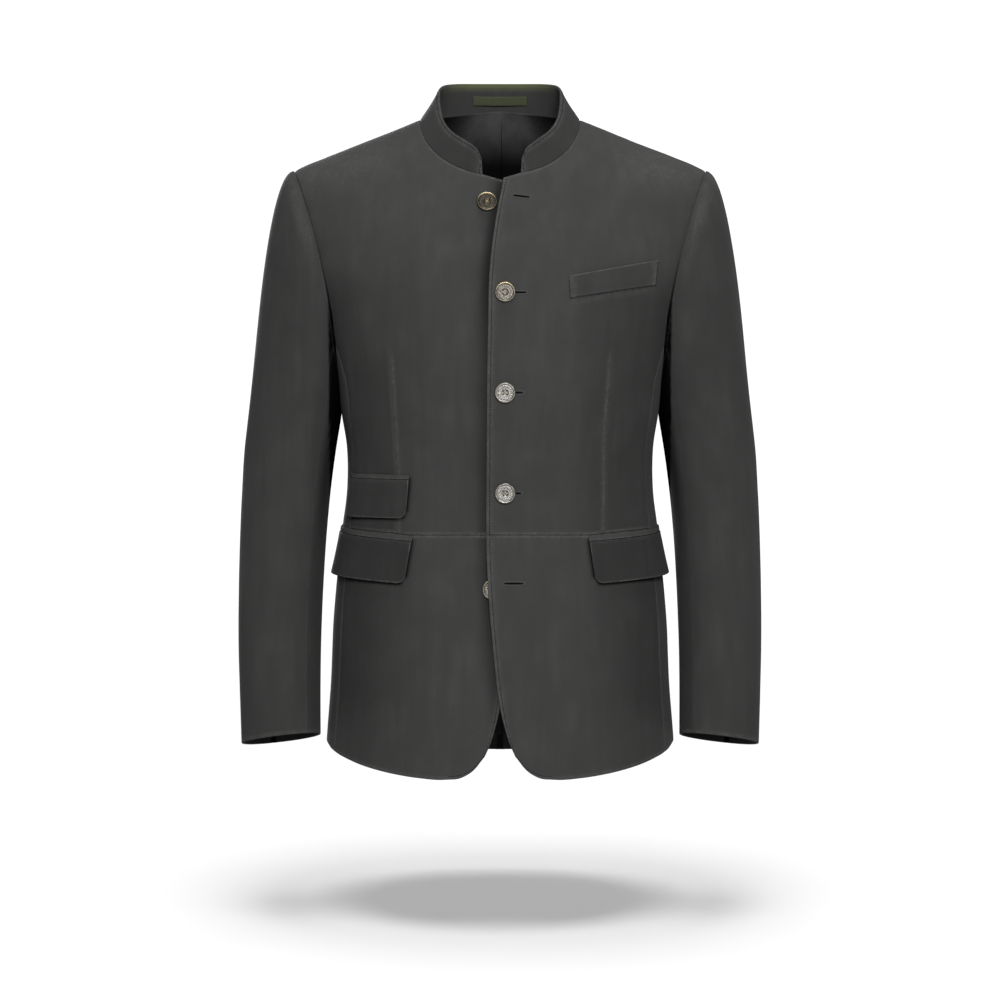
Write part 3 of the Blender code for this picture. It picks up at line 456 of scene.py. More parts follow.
# Soft folds of the body in the front view: each one's top, end, width and depth (negative for a trough)
FoldLine = namedtuple("FoldLine", "out_top top out_end end width depth")
FRONT_UPPER_FOLDS = (
    FoldLine(0.075, -0.090, 0.072, -0.440, 0.024, 0.0012),
    FoldLine(0.108, -0.130, 0.106, -0.420, 0.016, -0.0011),
    FoldLine(0.176, -0.165, 0.150, -0.350, 0.013, -0.0028),
    FoldLine(0.158, -0.190, 0.136, -0.400, 0.014, 0.0012),
    FoldLine(0.100, -0.035, 0.150, -0.170, 0.016, -0.0010),
    FoldLine(0.165, -0.330, 0.125, -0.420, 0.010, -0.0009),
)
FRONT_PULLS = {
    1: (
        FoldLine(0.056, -0.090, 0.012, -0.142, 0.010, -0.0014),
        FoldLine(0.024, -0.225, 0.090, -0.330, 0.014, -0.0009),
    ),
    -1: (
        FoldLine(0.036, -0.110, 0.066, -0.225, 0.013, -0.0010),
        FoldLine(0.020, -0.300, 0.080, -0.395, 0.012, -0.0008),
    ),
}
FRONT_LOWER_FOLDS = (
    FoldLine(0.062, -0.480, 0.066, -0.735, 0.020, 0.0013),
    FoldLine(0.100, -0.500, 0.110, -0.740, 0.017, -0.0017),
    FoldLine(0.134, -0.510, 0.146, -0.735, 0.014, 0.0012),
    FoldLine(0.160, -0.520, 0.172, -0.730, 0.012, -0.0016),
    FoldLine(0.030, -0.540, 0.036, -0.720, 0.016, -0.0009),
)
BACK_FOLDS = (
    FoldLine(0.120, -0.100, 0.105, -0.420, 0.024, 0.0035),
    FoldLine(0.165, -0.140, 0.140, -0.380, 0.016, -0.0042),
    FoldLine(0.050, -0.060, 0.035, -0.350, 0.026, -0.0022),
    FoldLine(0.130, -0.350, 0.020, -0.440, 0.013, -0.0029),
    FoldLine(0.140, -0.400, 0.030, -0.470, 0.014, 0.0022),
    FoldLine(0.060, -0.470, 0.070, -0.720, 0.022, 0.0032),
    FoldLine(0.110, -0.480, 0.120, -0.720, 0.018, -0.0035),
)
SIDE_FOLDS = (
    FoldLine(0.172, -0.320, 0.168, -0.470, 0.010, -0.0012),
)

# Soft folds of the sleeves: out is the length round the arm from its outside, positive to the front
SLEEVE_LINES = (
    FoldLine(0.046, -0.110, 0.060, -0.330, 0.010, -0.0020),
    FoldLine(0.100, -0.300, 0.052, -0.390, 0.009, -0.0020),
    FoldLine(0.095, -0.385, 0.050, -0.455, 0.009, -0.0015),
    FoldLine(0.092, -0.345, 0.045, -0.425, 0.010, 0.0014),
    FoldLine(-0.070, -0.330, -0.020, -0.430, 0.011, -0.0034),
    FoldLine(-0.075, -0.390, -0.020, -0.470, 0.011, -0.0031),
    FoldLine(-0.050, -0.450, -0.010, -0.530, 0.012, 0.0024),
    FoldLine(0.030, -0.480, 0.045, -0.690, 0.018, 0.0019),
    FoldLine(-0.030, -0.160, -0.035, -0.330, 0.014, -0.0024),
    FoldLine(0.157, -0.180, 0.157, -0.335, 0.038, 0.0045),
    FoldLine(-0.157, -0.180, -0.157, -0.335, 0.038, 0.0045),
)
ARM_RADIUS = 0.050
SLEEVE_HEAD_STILL = 0.010

# Soft folds of the back lining, seen down the neck
LINING_FOLDS = (
    FoldLine(0.035, -0.004, 0.060, -0.130, 0.012, 0.0014),
    FoldLine(-0.040, -0.004, -0.065, -0.130, 0.012, 0.0014),
    FoldLine(0.020, -0.010, 0.022, -0.180, 0.009, -0.0008),
)

# Stitches, with the lift and girth of one from end to end as shares of its radius
STITCH_PITCH = 0.0030
STITCH_LENGTH = 0.0016
STITCH_RADIUS = 0.00050
STITCH_LIFTS = (-1.2, 0.2, 0.7, 0.2, -1.2)
STITCH_GIRTHS = (0.6, 1.0, 1.0, 1.0, 0.6)
TUBE_SIDES = 6
WELT_STITCH = 0.0006
HEM_STITCHED = 0.055

# Buttonholes of the left front, from the top down: the slit's ends and height, and its fall outwards
HoleRow = namedtuple("HoleRow", "start end height fall")
BUTTONHOLES = (
    HoleRow(0.0144, 0.0330, -0.0888, 0.0018),
    HoleRow(0.0066, 0.0292, -0.1964, 0.0),
    HoleRow(0.0066, 0.0252, -0.3066, 0.0),
    HoleRow(0.0066, 0.0232, -0.4181, 0.0),
    HoleRow(0.0046, 0.0256, -0.5186, 0.0),
)
HOLE_HALF_WIDTH = 0.0008
HOLE_LIP = 0.0013
HOLE_LIP_RADIUS = 0.00050
HOLE_LIFT = 0.0007
HOLE_STEPS = 32
HOLE_END_POWER = 0.35
BAR_RADIUS = 1.5 * HOLE_LIP_RADIUS
BAR_STEPS = 5

# Fine shape of a button: radius and height of its turned face, from the middle to the back
BUTTON_SEGMENTS = 64
ButtonRing = namedtuple("ButtonRing", "radius height")
BUTTON_FACE = (
    ButtonRing(0.0000, 0.0021),
    ButtonRing(0.0034, 0.0021),
    ButtonRing(0.0041, 0.0025),
    ButtonRing(0.0048, 0.0024),
    ButtonRing(0.0078, 0.0027),
    ButtonRing(0.0088, 0.0025),
    ButtonRing(0.0094, 0.0030),
    ButtonRing(0.0103, 0.0033),
    ButtonRing(0.0110, 0.0030),
    ButtonRing(0.0113, 0.0022),
    ButtonRing(0.0111, 0.0012),
    ButtonRing(0.0098, 0.0002),
    ButtonRing(0.0000, 0.0000),
)
BUTTON_SPOKES = 20
BUTTON_SPOKE_RISE = 0.00022
BUTTON_SPOKES_FROM = 0.0050
BUTTON_SPOKES_TO = 0.0084
BUTTON_SPOKE_FADE = 0.001
BUTTON_FRONT_FROM = 0.002
BUTTON_HOLE_STEPS = 12
BUTTON_HOLE_RISE = 0.00006
THREAD_RADIUS = 0.00042
THREAD_RISE = 0.0007
THREAD_SINK = 0.0003
THREAD_STEPS = 9
# The rim: its brass tint, and a painted highlight of brass over its top
RIM_ACROSS = (0.0092, 0.0106)
RIM_BRASS = 0.12
# How far each button's colour is mixed towards dark bronze, given one by one
BRONZE_SHARES = (0.92, 0.72, 0.0, 0.12, 0.70)

# Colours
SUEDE_DARK = (0.0232, 0.0232, 0.0228)
SUEDE_LIGHT = (0.0302, 0.0302, 0.0296)
# The suede is darkened towards this where shade is painted
SUEDE_PAINTED_SHADE = (0.0012, 0.0012, 0.0012)
# Worn edges and painted highlights are made paler towards this
SUEDE_WORN_AND_HIGHLIT = (0.062, 0.062, 0.060)
OLIVE = (0.056, 0.063, 0.034)
LINING_DARK = (0.066, 0.066, 0.067)
LINING_LIGHT = (0.092, 0.092, 0.094)
# The lining is darkened towards this where shade is painted
LINING_PAINTED_SHADE = (0.0015, 0.0015, 0.0015)
TAPE_COLOUR = (0.072, 0.086, 0.041)
SILVER = (0.250, 0.245, 0.227)
PATINA = (0.006, 0.0055, 0.005)
BRONZE = (0.018, 0.014, 0.009)
# Brass of the rims, and of their painted highlight
BRASS_AND_HIGHLIGHT = (0.34, 0.28, 0.16)
THREAD_COLOUR = (0.26, 0.20, 0.12)
STITCH_COLOUR = (0.008, 0.008, 0.008)
# Near black, as painted shade in the buttonholes' slits and the buttons' holes
SLIT_SHADE_COLOUR = (0.003, 0.003, 0.003)
# The seam allowances, dark as painted shadow in the gaps of the seams
ALLOWANCE_SHADOW_COLOUR = (0.008, 0.008, 0.008)
HOLE_THREAD_COLOUR = (0.056, 0.056, 0.054)
FLOOR_COLOUR = (0.90, 0.90, 0.90)

# Noises of the materials: scale, detail and stretch, and the part of the noise's range that shows
NoiseRow = namedtuple("NoiseRow", "scale detail stretch shown", defaults=(3.0, None, None))
SUEDE_BLOTCH = NoiseRow(26, 5, shown=(0.30, 0.70))
SUEDE_STREAK = NoiseRow(90, 4, (1, 1, 0.12), (0.30, 0.70))
SUEDE_NAP = NoiseRow(1500, 2)
# Unevenness of worn edges and of painted highlights
SUEDE_WEAR_AND_HIGHLIGHT = NoiseRow(420, shown=(0.25, 0.65))
SUEDE_WAVES = NoiseRow(260, 4)
LINING_STREAK = NoiseRow(60, stretch=(1, 1, 0.2), shown=(0.35, 0.65))
LINING_WAVES = NoiseRow(55)
LINING_WEAVE = NoiseRow(2400, 1, (1, 1, 0.15))
METAL_SPOTS = NoiseRow(1300, 4)
THREAD_TWIST = NoiseRow(2600, 2, shown=(0.35, 0.65))
FLOOR_TONE = NoiseRow(3, 2, shown=(0.3, 0.7))
TAPE_WEAVE_SCALE = 420
TAPE_WEAVE_DISTORTION = 1.5

# Bumps of the materials
BumpRow = namedtuple("BumpRow", "distance strength")
SUEDE_WAVE_BUMP = BumpRow(0.0005, 0.35)
SUEDE_NAP_BUMP = BumpRow(0.0004, 0.45)
LINING_WAVE_BUMP = BumpRow(0.0015, 0.4)
LINING_WEAVE_BUMP = BumpRow(0.0002, 0.3)
TAPE_BUMP = BumpRow(0.0003, 0.5)
METAL_BUMP = BumpRow(0.0004, 0.4)
THREAD_BUMP = BumpRow(0.0002, 0.5)

# How rough and shiny the materials are, and where their second colours show
SUEDE_ROUGHNESS = 0.92
SUEDE_SHINE = {"Specular IOR Level": 0.03, "Sheen Weight": 0.02}
SUEDE_SHINE_SHADES = (0.4, 1.0)
SUEDE_SHEEN_ROUGHNESS = 0.55
SUEDE_NAP_SHOWN = (0.40, 0.75)
SUEDE_NAP_MOST = 0.30
LINING_ROUGHNESS = 0.48
LINING_SPECULAR = 0.06
TAPE_ROUGHNESS = 0.8
TAPE_SHOWN = (0.2, 0.8)
TAPE_DARK_SHARE = 0.6
METAL_ROUGHNESS = 0.42
METAL_PATINA_SHOWN = (0.45, 0.62)
METAL_ROUGH_SHOWN = (0.35, 0.65)
METAL_ROUGH_ENDS = (0.32, 0.60)
THREAD_ROUGHNESS = 0.9
THREAD_DARK_SHARE = 0.55
FLOOR_ROUGHNESS = 0.9
FLOOR_DARK_SHARE = 0.97

# The photograph's view, the studio and its light
SCALE = 0.00112
CAMERA_FAR = 10.0
CAMERA_HEIGHT = -0.4256
SENSOR = 36.0
PICTURE = 1000
FLOOR_FRONT = -0.988
FLOOR_BACK = -0.752
RAMP_FROM = -0.68
RAMP_TO = 0.68
RAMP_STEPS = 60
FLOOR_HALF = 16.0
SunRow = namedtuple("SunRow", "name strength angle receivers blockers")
SUNS = (
    SunRow("overhead", 4.1, 30, "garment", "garment"),
    SunRow("floor_sun", 2.45, 37, "stage", "garment"),
    SunRow("floor_fill", 1.26, 37, "stage", "stage"),
)
SUN_PLACE = (0, 0, 5)
LampRow = namedtuple("LampRow", "name place power receivers")
LAMPS = (
    LampRow("fill", (0.45, -3.9, 1.15), 108.0, "garment"),
    LampRow("key", (0.45, -3.9, 1.15), 155.0, "lit_by_keys"),
    LampRow("back_key", (-1.2, 4.2, 0.9), 230.0, "lit_by_keys"),
)
LAMP_SIZE = 1.5
UNLIT_BY_KEYS = ("lining_back_cloth", "hanger_loop_cloth")
WORLD_LIGHT = 0.04
WORLD_BAND = 1.1
BAND_HEIGHTS = (0.06, 0.084)

# The sockets of a colour Mix node, which have the names of other sockets too
MIX_FIRST = 6
MIX_SECOND = 7
MIX_RESULT = 2


# Forms, as functions of arrays


class Curve:
    """A smooth curve through one column of a table, against the table's first column."""

    def __init__(self, rows, column):
        rows = sorted(rows)
        self.at = np.array([row[0] for row in rows])
        self.value = np.array([getattr(row, column) for row in rows])
        gaps = np.diff(self.at)
        rises = np.diff(self.value) / gaps
        inner = (gaps[1:] * rises[:-1] + gaps[:-1] * rises[1:]) / (gaps[:-1] + gaps[1:])
        self.slope = np.concatenate([rises[:1], inner, rises[-1:]])

    def __call__(self, at):
        at = np.clip(at, self.at[0], self.at[-1])
        i = np.clip(np.searchsorted(self.at, at) - 1, 0, len(self.at) - 2)
        gap = self.at[i + 1] - self.at[i]
        ends = self.value[i], self.slope[i] * gap, self.value[i + 1], self.slope[i + 1] * gap
        return hermite(*ends, (at - self.at[i]) / gap)


def hermite(start, leave, end, arrive, t):
    """A cubic from start to end that leaves and arrives in the given directions."""
    return (
        start * (2 * t**3 - 3 * t**2 + 1)
        + leave * (t**3 - 2 * t**2 + t)
        + end * (3 * t**2 - 2 * t**3)
        + arrive * (t**3 - t**2)
    )


def smooth(value, start, end):
    """0 at start, 1 at end, with a soft change between."""
    t = np.clip((value - start) / (end - start), 0, 1)
    return t * t * (3 - 2 * t)


def bell(value, width):
    """1 at 0, with a soft fall to both sides over this width."""
    return np.exp(-((value / width) ** 2))


def fade_ends(share, fade):
    """1 in the middle of the way from 0 to 1, with a soft fall to 0 at both ends."""
    return smooth(share, 0, fade) * smooth(share, 1, 1 - fade)


def mix(start, end, share):
    return start + (end - start) * share


def vec(*columns):
    return np.stack(np.broadcast_arrays(*columns), axis=-1).astype(float)


def parts(vectors):
    return np.moveaxis(vectors, -1, 0)


def unit(vectors):
    return vectors / np.maximum(np.linalg.norm(vectors, axis=-1, keepdims=True), TINY)


def lengths_along(line):
    """The length of a line of points, up to each point."""
    steps = np.linalg.norm(np.diff(line, axis=0), axis=-1)
    return np.concatenate([[0.0], np.cumsum(steps)])


def at_length(places, reach, line):
    """What a line's values are at these lengths along it, where reach is the length up to each value."""
    return np.stack([np.interp(places, reach, column) for column in line.T], axis=-1)


HALF_WIDTH = Curve(TORSO, "half_width")
FRONT_DEPTH = Curve(TORSO, "front")
BACK_DEPTH = Curve(TORSO, "back")
FULLNESS = Curve(TORSO, "fullness")
EDGE_OUT = {1: Curve(EDGE, "left"), -1: Curve(EDGE, "right")}
HEM_HEIGHT = Curve(HEM, "height")
SLEEVE_COLUMNS = [Curve(SLEEVE, name) for name in SleeveRow._fields[1:]]
COLLAR_COLUMNS = [Curve(COLLAR_TOP, name) for name in CollarRow._fields[1:]]


def depth_at(height, y):
    return np.where(np.asarray(y) < 0, FRONT_DEPTH(height), BACK_DEPTH(height))


def on_torso(out, height, facing):
    """The body's point at this place in the front view, on its front (facing -1) or back (facing 1)."""
    fullness = FULLNESS(height)
    share = np.minimum(np.abs(out) / HALF_WIDTH(height), 1)
    deep = depth_at(height, facing) * (1 - share**fullness) ** (1 / fullness)
    return vec(out, facing * np.maximum(deep, HALF_GAP), height)


def round_torso(turn, height):
    """The point of the body at this turn from the centre front."""
    power = 2 / FULLNESS(height)
    out = HALF_WIDTH(height) * np.abs(np.sin(turn)) ** power
    facing = np.where(np.cos(turn) > 0, -1, 1)
    deep = depth_at(height, facing) * np.abs(np.cos(turn)) ** power
    return vec(np.copysign(out, turn), facing * deep, height)


def turn_of(out, height):
    share = np.minimum(np.abs(out) / HALF_WIDTH(height), 1)
    return np.copysign(np.arcsin(share ** (FULLNESS(height) / 2)), out)


def fill(x, y, height):
    """1 on the body's section at this height, less inside it and more outside it."""
    fullness = FULLNESS(height)
    return np.abs(x / HALF_WIDTH(height)) ** fullness + np.abs(y / depth_at(height, y)) ** fullness


def outward(points):
    """The direction straight out of the body at points of its surface."""
    x, y, z = parts(points)
    fullness = FULLNESS(z)
    half_width = HALF_WIDTH(z)
    depth = depth_at(z, y)
    slope_x = fullness * np.abs(x / half_width) ** (fullness - 1) / half_width
    slope_y = fullness * np.abs(y / depth) ** (fullness - 1) / depth
    slope_z = (fill(x, y, z + STEP) - fill(x, y, z - STEP)) / (2 * STEP)
    return unit(vec(np.copysign(slope_x, x), np.copysign(slope_y, y), slope_z))


def lifted(points, distance):
    return points + outward(points) * np.asarray(distance)[..., None]


def lap_lift(out, height):
    """How far the left front stands off the body where it laps over the right front."""
    over_button = bell(height - BUTTONS[-1].height, LAP_BUTTON_SPREAD)
    return (LAP_LIFT + LAP_OVER_BUTTON * over_button) * smooth(out, *LAP_ACROSS)


# Lines of the cut, in the front view of the left half: out from the centre, and height


def neck_spot(turn):
    """A place of the neck seam, by its turn from the centre front."""
    front = -NECK_FRONT_DROP * np.cos(turn)
    back = NECK_BACK_RISE * np.cos(turn) ** 2
    return vec(NECK_HALF_WIDTH * np.sin(turn), np.where(turn < math.pi / 2, front, back))


def neck_point(side, turn):
    """The point of the neck seam on the body. The left front carries its end of the seam on its lap."""
    out, height = parts(neck_spot(turn))
    point = on_torso(out, height, np.where(turn < math.pi / 2, -1, 1))
    lift = np.where(point[..., 1] < 0, lap_lift(out, height), 0) if side > 0 else np.zeros_like(out)
    return lifted(point, lift)


def neck_lengths(side):
    """Turns along the neck seam from the collar's end to the centre back, and the length up to each."""
    turns = np.linspace(math.asin(COLLAR_END[side] / NECK_HALF_WIDTH), math.pi, NECK_STEPS + 1)
    return turns, lengths_along(neck_point(side, turns))


NECK = {side: neck_lengths(side) for side in (1, -1)}


def shoulder_share(side):
    """The share of the neck seam in front of the shoulder."""
    turns, lengths = NECK[side]
    return np.interp(math.pi / 2, turns, lengths) / lengths[-1]


def neck_turn(side, share):
    """The turn at this share of the way along the neck seam."""
    turns, lengths = NECK[side]
    return np.interp(np.asarray(share) * lengths[-1], lengths, turns)


def armhole_out(height):
    share = (height - UNDERARM_HEIGHT) / (SHOULDER_HEIGHT - UNDERARM_HEIGHT)
    reach = HALF_WIDTH(SHOULDER_HEIGHT) - UNDERARM_OUT
    return UNDERARM_OUT + reach * np.maximum(share, 0) ** ARMHOLE_POWER


def armhole_height(turn):
    """The height where the armhole crosses this turn, near the underarm."""
    low = np.full(np.shape(turn), UNDERARM_HEIGHT)
    high = np.full(np.shape(turn), (UNDERARM_HEIGHT + SHOULDER_HEIGHT) / 2)
    for _ in range(HALVINGS):
        middle = (low + high) / 2
        beyond = round_torso(turn, middle)[..., 0] > armhole_out(middle)
        high = np.where(beyond, middle, high)
        low = np.where(beyond, low, middle)
    return low


def waist_height(out):
    return WAIST_SEAM + WAIST_RISE * np.maximum(out - WAIST_RISE_FROM, 0)


def hem_height(turn):
    return HEM_HEIGHT(np.degrees(turn))


def seam_out(turn, height):
    return round_torso(turn, height)[..., 0]


SEAM_TURN = HALF_GAP / FRONT_DEPTH(WAIST_SEAM)
SIDE_WAIST = waist_height(seam_out(SIDE_FRONT_TURN, WAIST_SEAM))


def armhole_point(around):
    """A point of the left armhole: around is 0 at the shoulder and positive down the front."""
    middle = (SHOULDER_HEIGHT + UNDERARM_HEIGHT) / 2
    height = middle + (SHOULDER_HEIGHT - middle) * np.cos(around)
    return on_torso(armhole_out(height), height, np.where(np.sin(around) > 0, -1, 1))


# Patches of cloth


def coons(left, right, bottom, top):
    """A patch between four lines, each a function of 0 to 1. The lines meet at the patch's corners."""
    corners = [line(np.array(end)) for line in (bottom, top) for end in (0.0, 1.0)]

    def patch(u, v):
        across, up = u[..., None], v[..., None]
        between_sides = left(v) * (1 - across) + right(v) * across
        between_ends = bottom(u) * (1 - up) + top(u) * up
        low = corners[0] * (1 - across) + corners[1] * across
        high = corners[2] * (1 - across) + corners[3] * across
        return between_sides + between_ends - (low * (1 - up) + high * up)

    return patch


def chain(first, second, share):
    """Two lines end to end, the first taking this share of the way."""

    def line(t):
        early = first(np.clip(t / share, 0, 1))
        late = second(np.clip((t - share) / (1 - share), 0, 1))
        return np.where((t < share).reshape(t.shape + (1,) * (early.ndim - t.ndim)), early, late)

    return line


def between(start, end):
    return lambda t: mix(start, end, t.reshape(t.shape + (1,) * np.ndim(start)))


def shoulder_line(t):
    return vec(HALF_WIDTH(SHOULDER_HEIGHT * t), SHOULDER_HEIGHT * t)


def armhole_line(start):
    """The armhole from this height up to the shoulder, as seen from the front."""
    middle = (SHOULDER_HEIGHT + UNDERARM_HEIGHT) / 2
    half = SHOULDER_HEIGHT - middle
    first = math.acos((start - middle) / half)

    def line(t):
        height = middle + half * np.cos(first * (1 - t))
        return vec(armhole_out(height) - HALF_GAP * (1 - t), height)

    return line


def side_line(turn, start, end):
    def line(t):
        height = mix(start, end, t)
        return vec(seam_out(turn, height), height)

    return line


def front_upper_patch(side):
    """In the front view: the front above the waist seam."""
    edge = EDGE_OUT[side]
    turn = SIDE_FRONT_TURN - SEAM_TURN
    underarm = armhole_height(SIDE_FRONT_TURN)
    low_edge = WAIST_SEAM + HALF_GAP
    seam_end = SIDE_WAIST + HALF_GAP
    collar_end = neck_spot(neck_turn(side, 0))
    end_out = edge(collar_end[1])
    neck_end = vec(end_out, collar_end[1] - NECK_END_SLOPE * (collar_end[0] - end_out))

    def left(t):
        height = mix(low_edge, neck_end[1], t)
        return vec(edge(height) + (end_out - edge(neck_end[1])) * t, height)

    def neck(t):
        return neck_spot(neck_turn(side, shoulder_share(side) * t))

    def bottom(t):
        out = mix(edge(low_edge), seam_out(turn, seam_end), t)
        return vec(out, waist_height(out) + HALF_GAP)

    bare_neck = chain(between(neck_end, collar_end), neck, BARE_SHARE / SHOULDER_FROM)
    top = chain(bare_neck, shoulder_line, SHOULDER_FROM)
    right = chain(side_line(turn, seam_end, underarm), armhole_line(underarm), FRONT_UNDERARM_SHARE)
    return coons(left, right, bottom, top)


def front_lower_patch(side):
    """In turn and height: the skirt of a front, with its rounded corner between the edge and the hem."""
    edge = EDGE_OUT[side]
    turn = SIDE_FRONT_TURN - SEAM_TURN
    top_edge = WAIST_SEAM - HALF_GAP
    corner = turn_of(edge(CORNER_HEIGHT), CORNER_HEIGHT)

    def left(t):
        height = mix(CORNER_HEIGHT, top_edge, t)
        return vec(turn_of(edge(height), height), height)

    def bottom(t):
        at = mix(corner, turn, t**HEM_CROWDING)
        return vec(at, np.where(t > 0, hem_height(at), CORNER_HEIGHT))

    def top(t):
        out = mix(edge(top_edge), seam_out(turn, SIDE_WAIST), t)
        height = waist_height(out) - HALF_GAP
        return vec(turn_of(out, height), height)

    ends = bottom(np.array(1.0)), top(np.array(1.0))
    return coons(left, between(*ends), bottom, top)


def side_patch(u, v):
    """In turn and height: the side body, from the hem up to the underarm."""
    at = SIDE_FRONT_TURN + SEAM_TURN + (SIDE_BACK_TURN - SIDE_FRONT_TURN - 2 * SEAM_TURN) * u
    low = hem_height(at)
    high = armhole_height(at) - HALF_GAP
    return vec(at, mix(low, high, v))


def back_patch(centre, edge_gap=0.0, top_gap=0.0, hem_gap=0.0):
    """In the front view: half of the back, or of its lining, which stops short of the back's edges."""
    turn = SIDE_BACK_TURN + SEAM_TURN + edge_gap / BACK_DEPTH(WAIST_SEAM)
    underarm = armhole_height(SIDE_BACK_TURN)
    low_side = hem_height(turn) + hem_gap
    shoulder_end = 1 - edge_gap / (HALF_WIDTH(SHOULDER_HEIGHT) - NECK_HALF_WIDTH)
    drop = np.array((0, top_gap))

    def neck(t):
        spot = neck_spot(neck_turn(1, mix(1, shoulder_share(1), t))) - drop
        return vec(np.maximum(spot[..., 0], centre), spot[..., 1])

    def shoulder(t):
        return shoulder_line(t * shoulder_end) - drop

    def arm(t):
        return armhole_line(underarm)(t * shoulder_end) - vec(edge_gap * (1 - t), top_gap * t)

    def bottom(t):
        out = mix(centre, seam_out(turn, low_side), t)
        return vec(out, hem_height(math.pi - turn_of(out, low_side)) + hem_gap)

    right = chain(side_line(turn, low_side, underarm), arm, BACK_UNDERARM_SHARE)
    left = between(vec(centre, hem_height(math.pi) + hem_gap), neck(np.array(0.0)))
    return coons(left, right, bottom, chain(neck, shoulder, BACK_SHOULDER_FROM))


# The sleeve, in turn round the arm (0 outside, positive to the front) and the share of the way down


def sleeve_ring(around, height):
    """A point of the left sleeve's level section."""
    inner, outer, front, back = (column(height) for column in SLEEVE_COLUMNS)
    power = 2 / SLEEVE_FULLNESS
    wide = np.copysign(np.abs(np.cos(around)) ** power, np.cos(around))
    deep = np.copysign(np.abs(np.sin(around)) ** power, np.sin(around))
    half_width = (outer - inner) / 2
    half_depth = (back - front) / 2
    tilt = smooth(height, SLEEVE[0].height, SLEEVE[-1].height)
    rise = tilt * (CUFF_TILT_OUT * half_width * wide - CUFF_TILT_BACK * half_depth * deep)
    out = (outer + inner) / 2 + half_width * wide
    return vec(out, (back + front) / 2 - half_depth * deep, height + rise)


def cap_leave(around):
    """How the sleeve leaves the armhole here: the columns of a CapRow."""
    over = np.maximum(np.cos(around), 0)[..., None] ** 2
    under = np.maximum(-np.cos(around), 0)[..., None] ** 2
    beside = np.sin(around)[..., None] ** 2
    beside_row = np.where(np.sin(around)[..., None] > 0, CAP_FRONT, CAP_BACK)
    return over * np.array(CAP_TOP) + under * np.array(CAP_UNDER) + beside * beside_row


def bare_sleeve(around, share):
    first = SLEEVE[0].height
    down = np.maximum((share - CAP_SHARE) / (1 - CAP_SHARE), 0)
    lower = sleeve_ring(around, mix(first, SLEEVE[-1].height, down))
    start = lifted(armhole_point(around), SLEEVE_LIFT) + np.array((SEAM_GAP, 0, 0))
    end = sleeve_ring(around, np.full(around.shape, first))
    way = np.linalg.norm(end - start, axis=-1, keepdims=True)
    leave = cap_leave(around)
    arrive = unit(sleeve_ring(around, np.full(around.shape, first - STEP)) - end)
    go = unit(leave[..., :3]) * leave[..., 3:]
    cap = hermite(start, go * way, end, arrive * way, (share / CAP_SHARE)[..., None])
    return np.where((share >= CAP_SHARE)[..., None], lower, cap)


def sleeve_fold(around, height):
    """How far the largest folds move the sleeve out here."""
    moved = np.zeros(around.shape)
    for fold in SLEEVE_FOLDS:
        share = (height - fold.top) / (fold.end - fold.top)
        turn = np.radians(mix(fold.turn_top, fold.turn_end, share))
        moved += fold.depth * fade_ends(share, FOLD_FADE) * bell(around - turn, math.radians(fold.width))
    return moved


# The collar, by shares of its length from a front end to the centre back and of its height


def collar_surface(side, share, up):
    base = neck_point(side, neck_turn(side, share))
    end_shift = (COLLAR_END[side] - COLLAR_END[1]) * np.maximum(1 - share / COLLAR_END_FADE, 0)
    out, deep, height = (column(share) for column in COLLAR_COLUMNS)
    rise = vec(out + end_shift, deep, height) - base
    length = np.linalg.norm(rise, axis=-1, keepdims=True)
    return base + unit(rise) * SEAM_GAP + rise * up[..., None] * (1 - SEAM_GAP / length)


def on_collar(along, up):
    """along runs from -1, the right front end, through 0, the centre back, to 1, the left front end."""
    share = 1 - np.abs(along)
    left = collar_surface(1, share, up)
    right = collar_surface(-1, share, up) * np.array((-1, 1, 1))
    return np.where((along > 0)[..., None], left, right)


def pocket_spot(pocket, along, down):
    """A place in turn and height: along the pocket from its front end, and down from its top line."""
    lean = pocket.lean * down / pocket.height * (1 - along)
    turn = pocket.front_turn + lean + (pocket.back_turn - pocket.front_turn - lean) * along
    top = mix(pocket.front_top, pocket.back_top, along)
    return np.radians(turn), top - down


# Cloth


def grain(points, scale, seed):
    """Smooth noise from -1 to 1. The scale is one number, or one for each axis."""
    places = points.reshape(-1, 3) * np.array(scale) + seed
    return np.array([noise.noise(Vector(place)) for place in places]).reshape(points.shape[:-1])


def stations(way, breaks=()):
    """Shares of the way: close together by both ends, even between, and one at each break."""
    zone = way.zone * np.linspace(0, 1, EDGE_CELLS + 1) ** EDGE_CROWDING / way.length
    stops = [zone[-1], *breaks, 1 - zone[-1]]
    places = list(zone)
    for start, end in zip(stops, stops[1:]):
        cells = max(1, round((end - start) * way.length / way.cell))
        places.extend(np.linspace(start, end, cells + 1)[1:])
    places.extend(1 - zone[::-1][1:])
    return np.array(places)


def grid(across, along, across_breaks=(), along_breaks=()):
    """Shares across and along a piece, as two arrays."""
    return np.meshgrid(stations(across, across_breaks), stations(along, along_breaks), indexing="ij")


def runs(points):
    """Lengths over the cloth from its left, right, bottom and top edges."""
    found = []
    for axis in (0, 1):
        steps = np.linalg.norm(np.diff(points, axis=axis), axis=-1)
        zero = np.zeros_like(steps.take([0], axis=axis))
        there = np.cumsum(np.concatenate([zero, steps], axis=axis), axis=axis)
        found += [there, there.take([-1], axis=axis) - there]
    return found


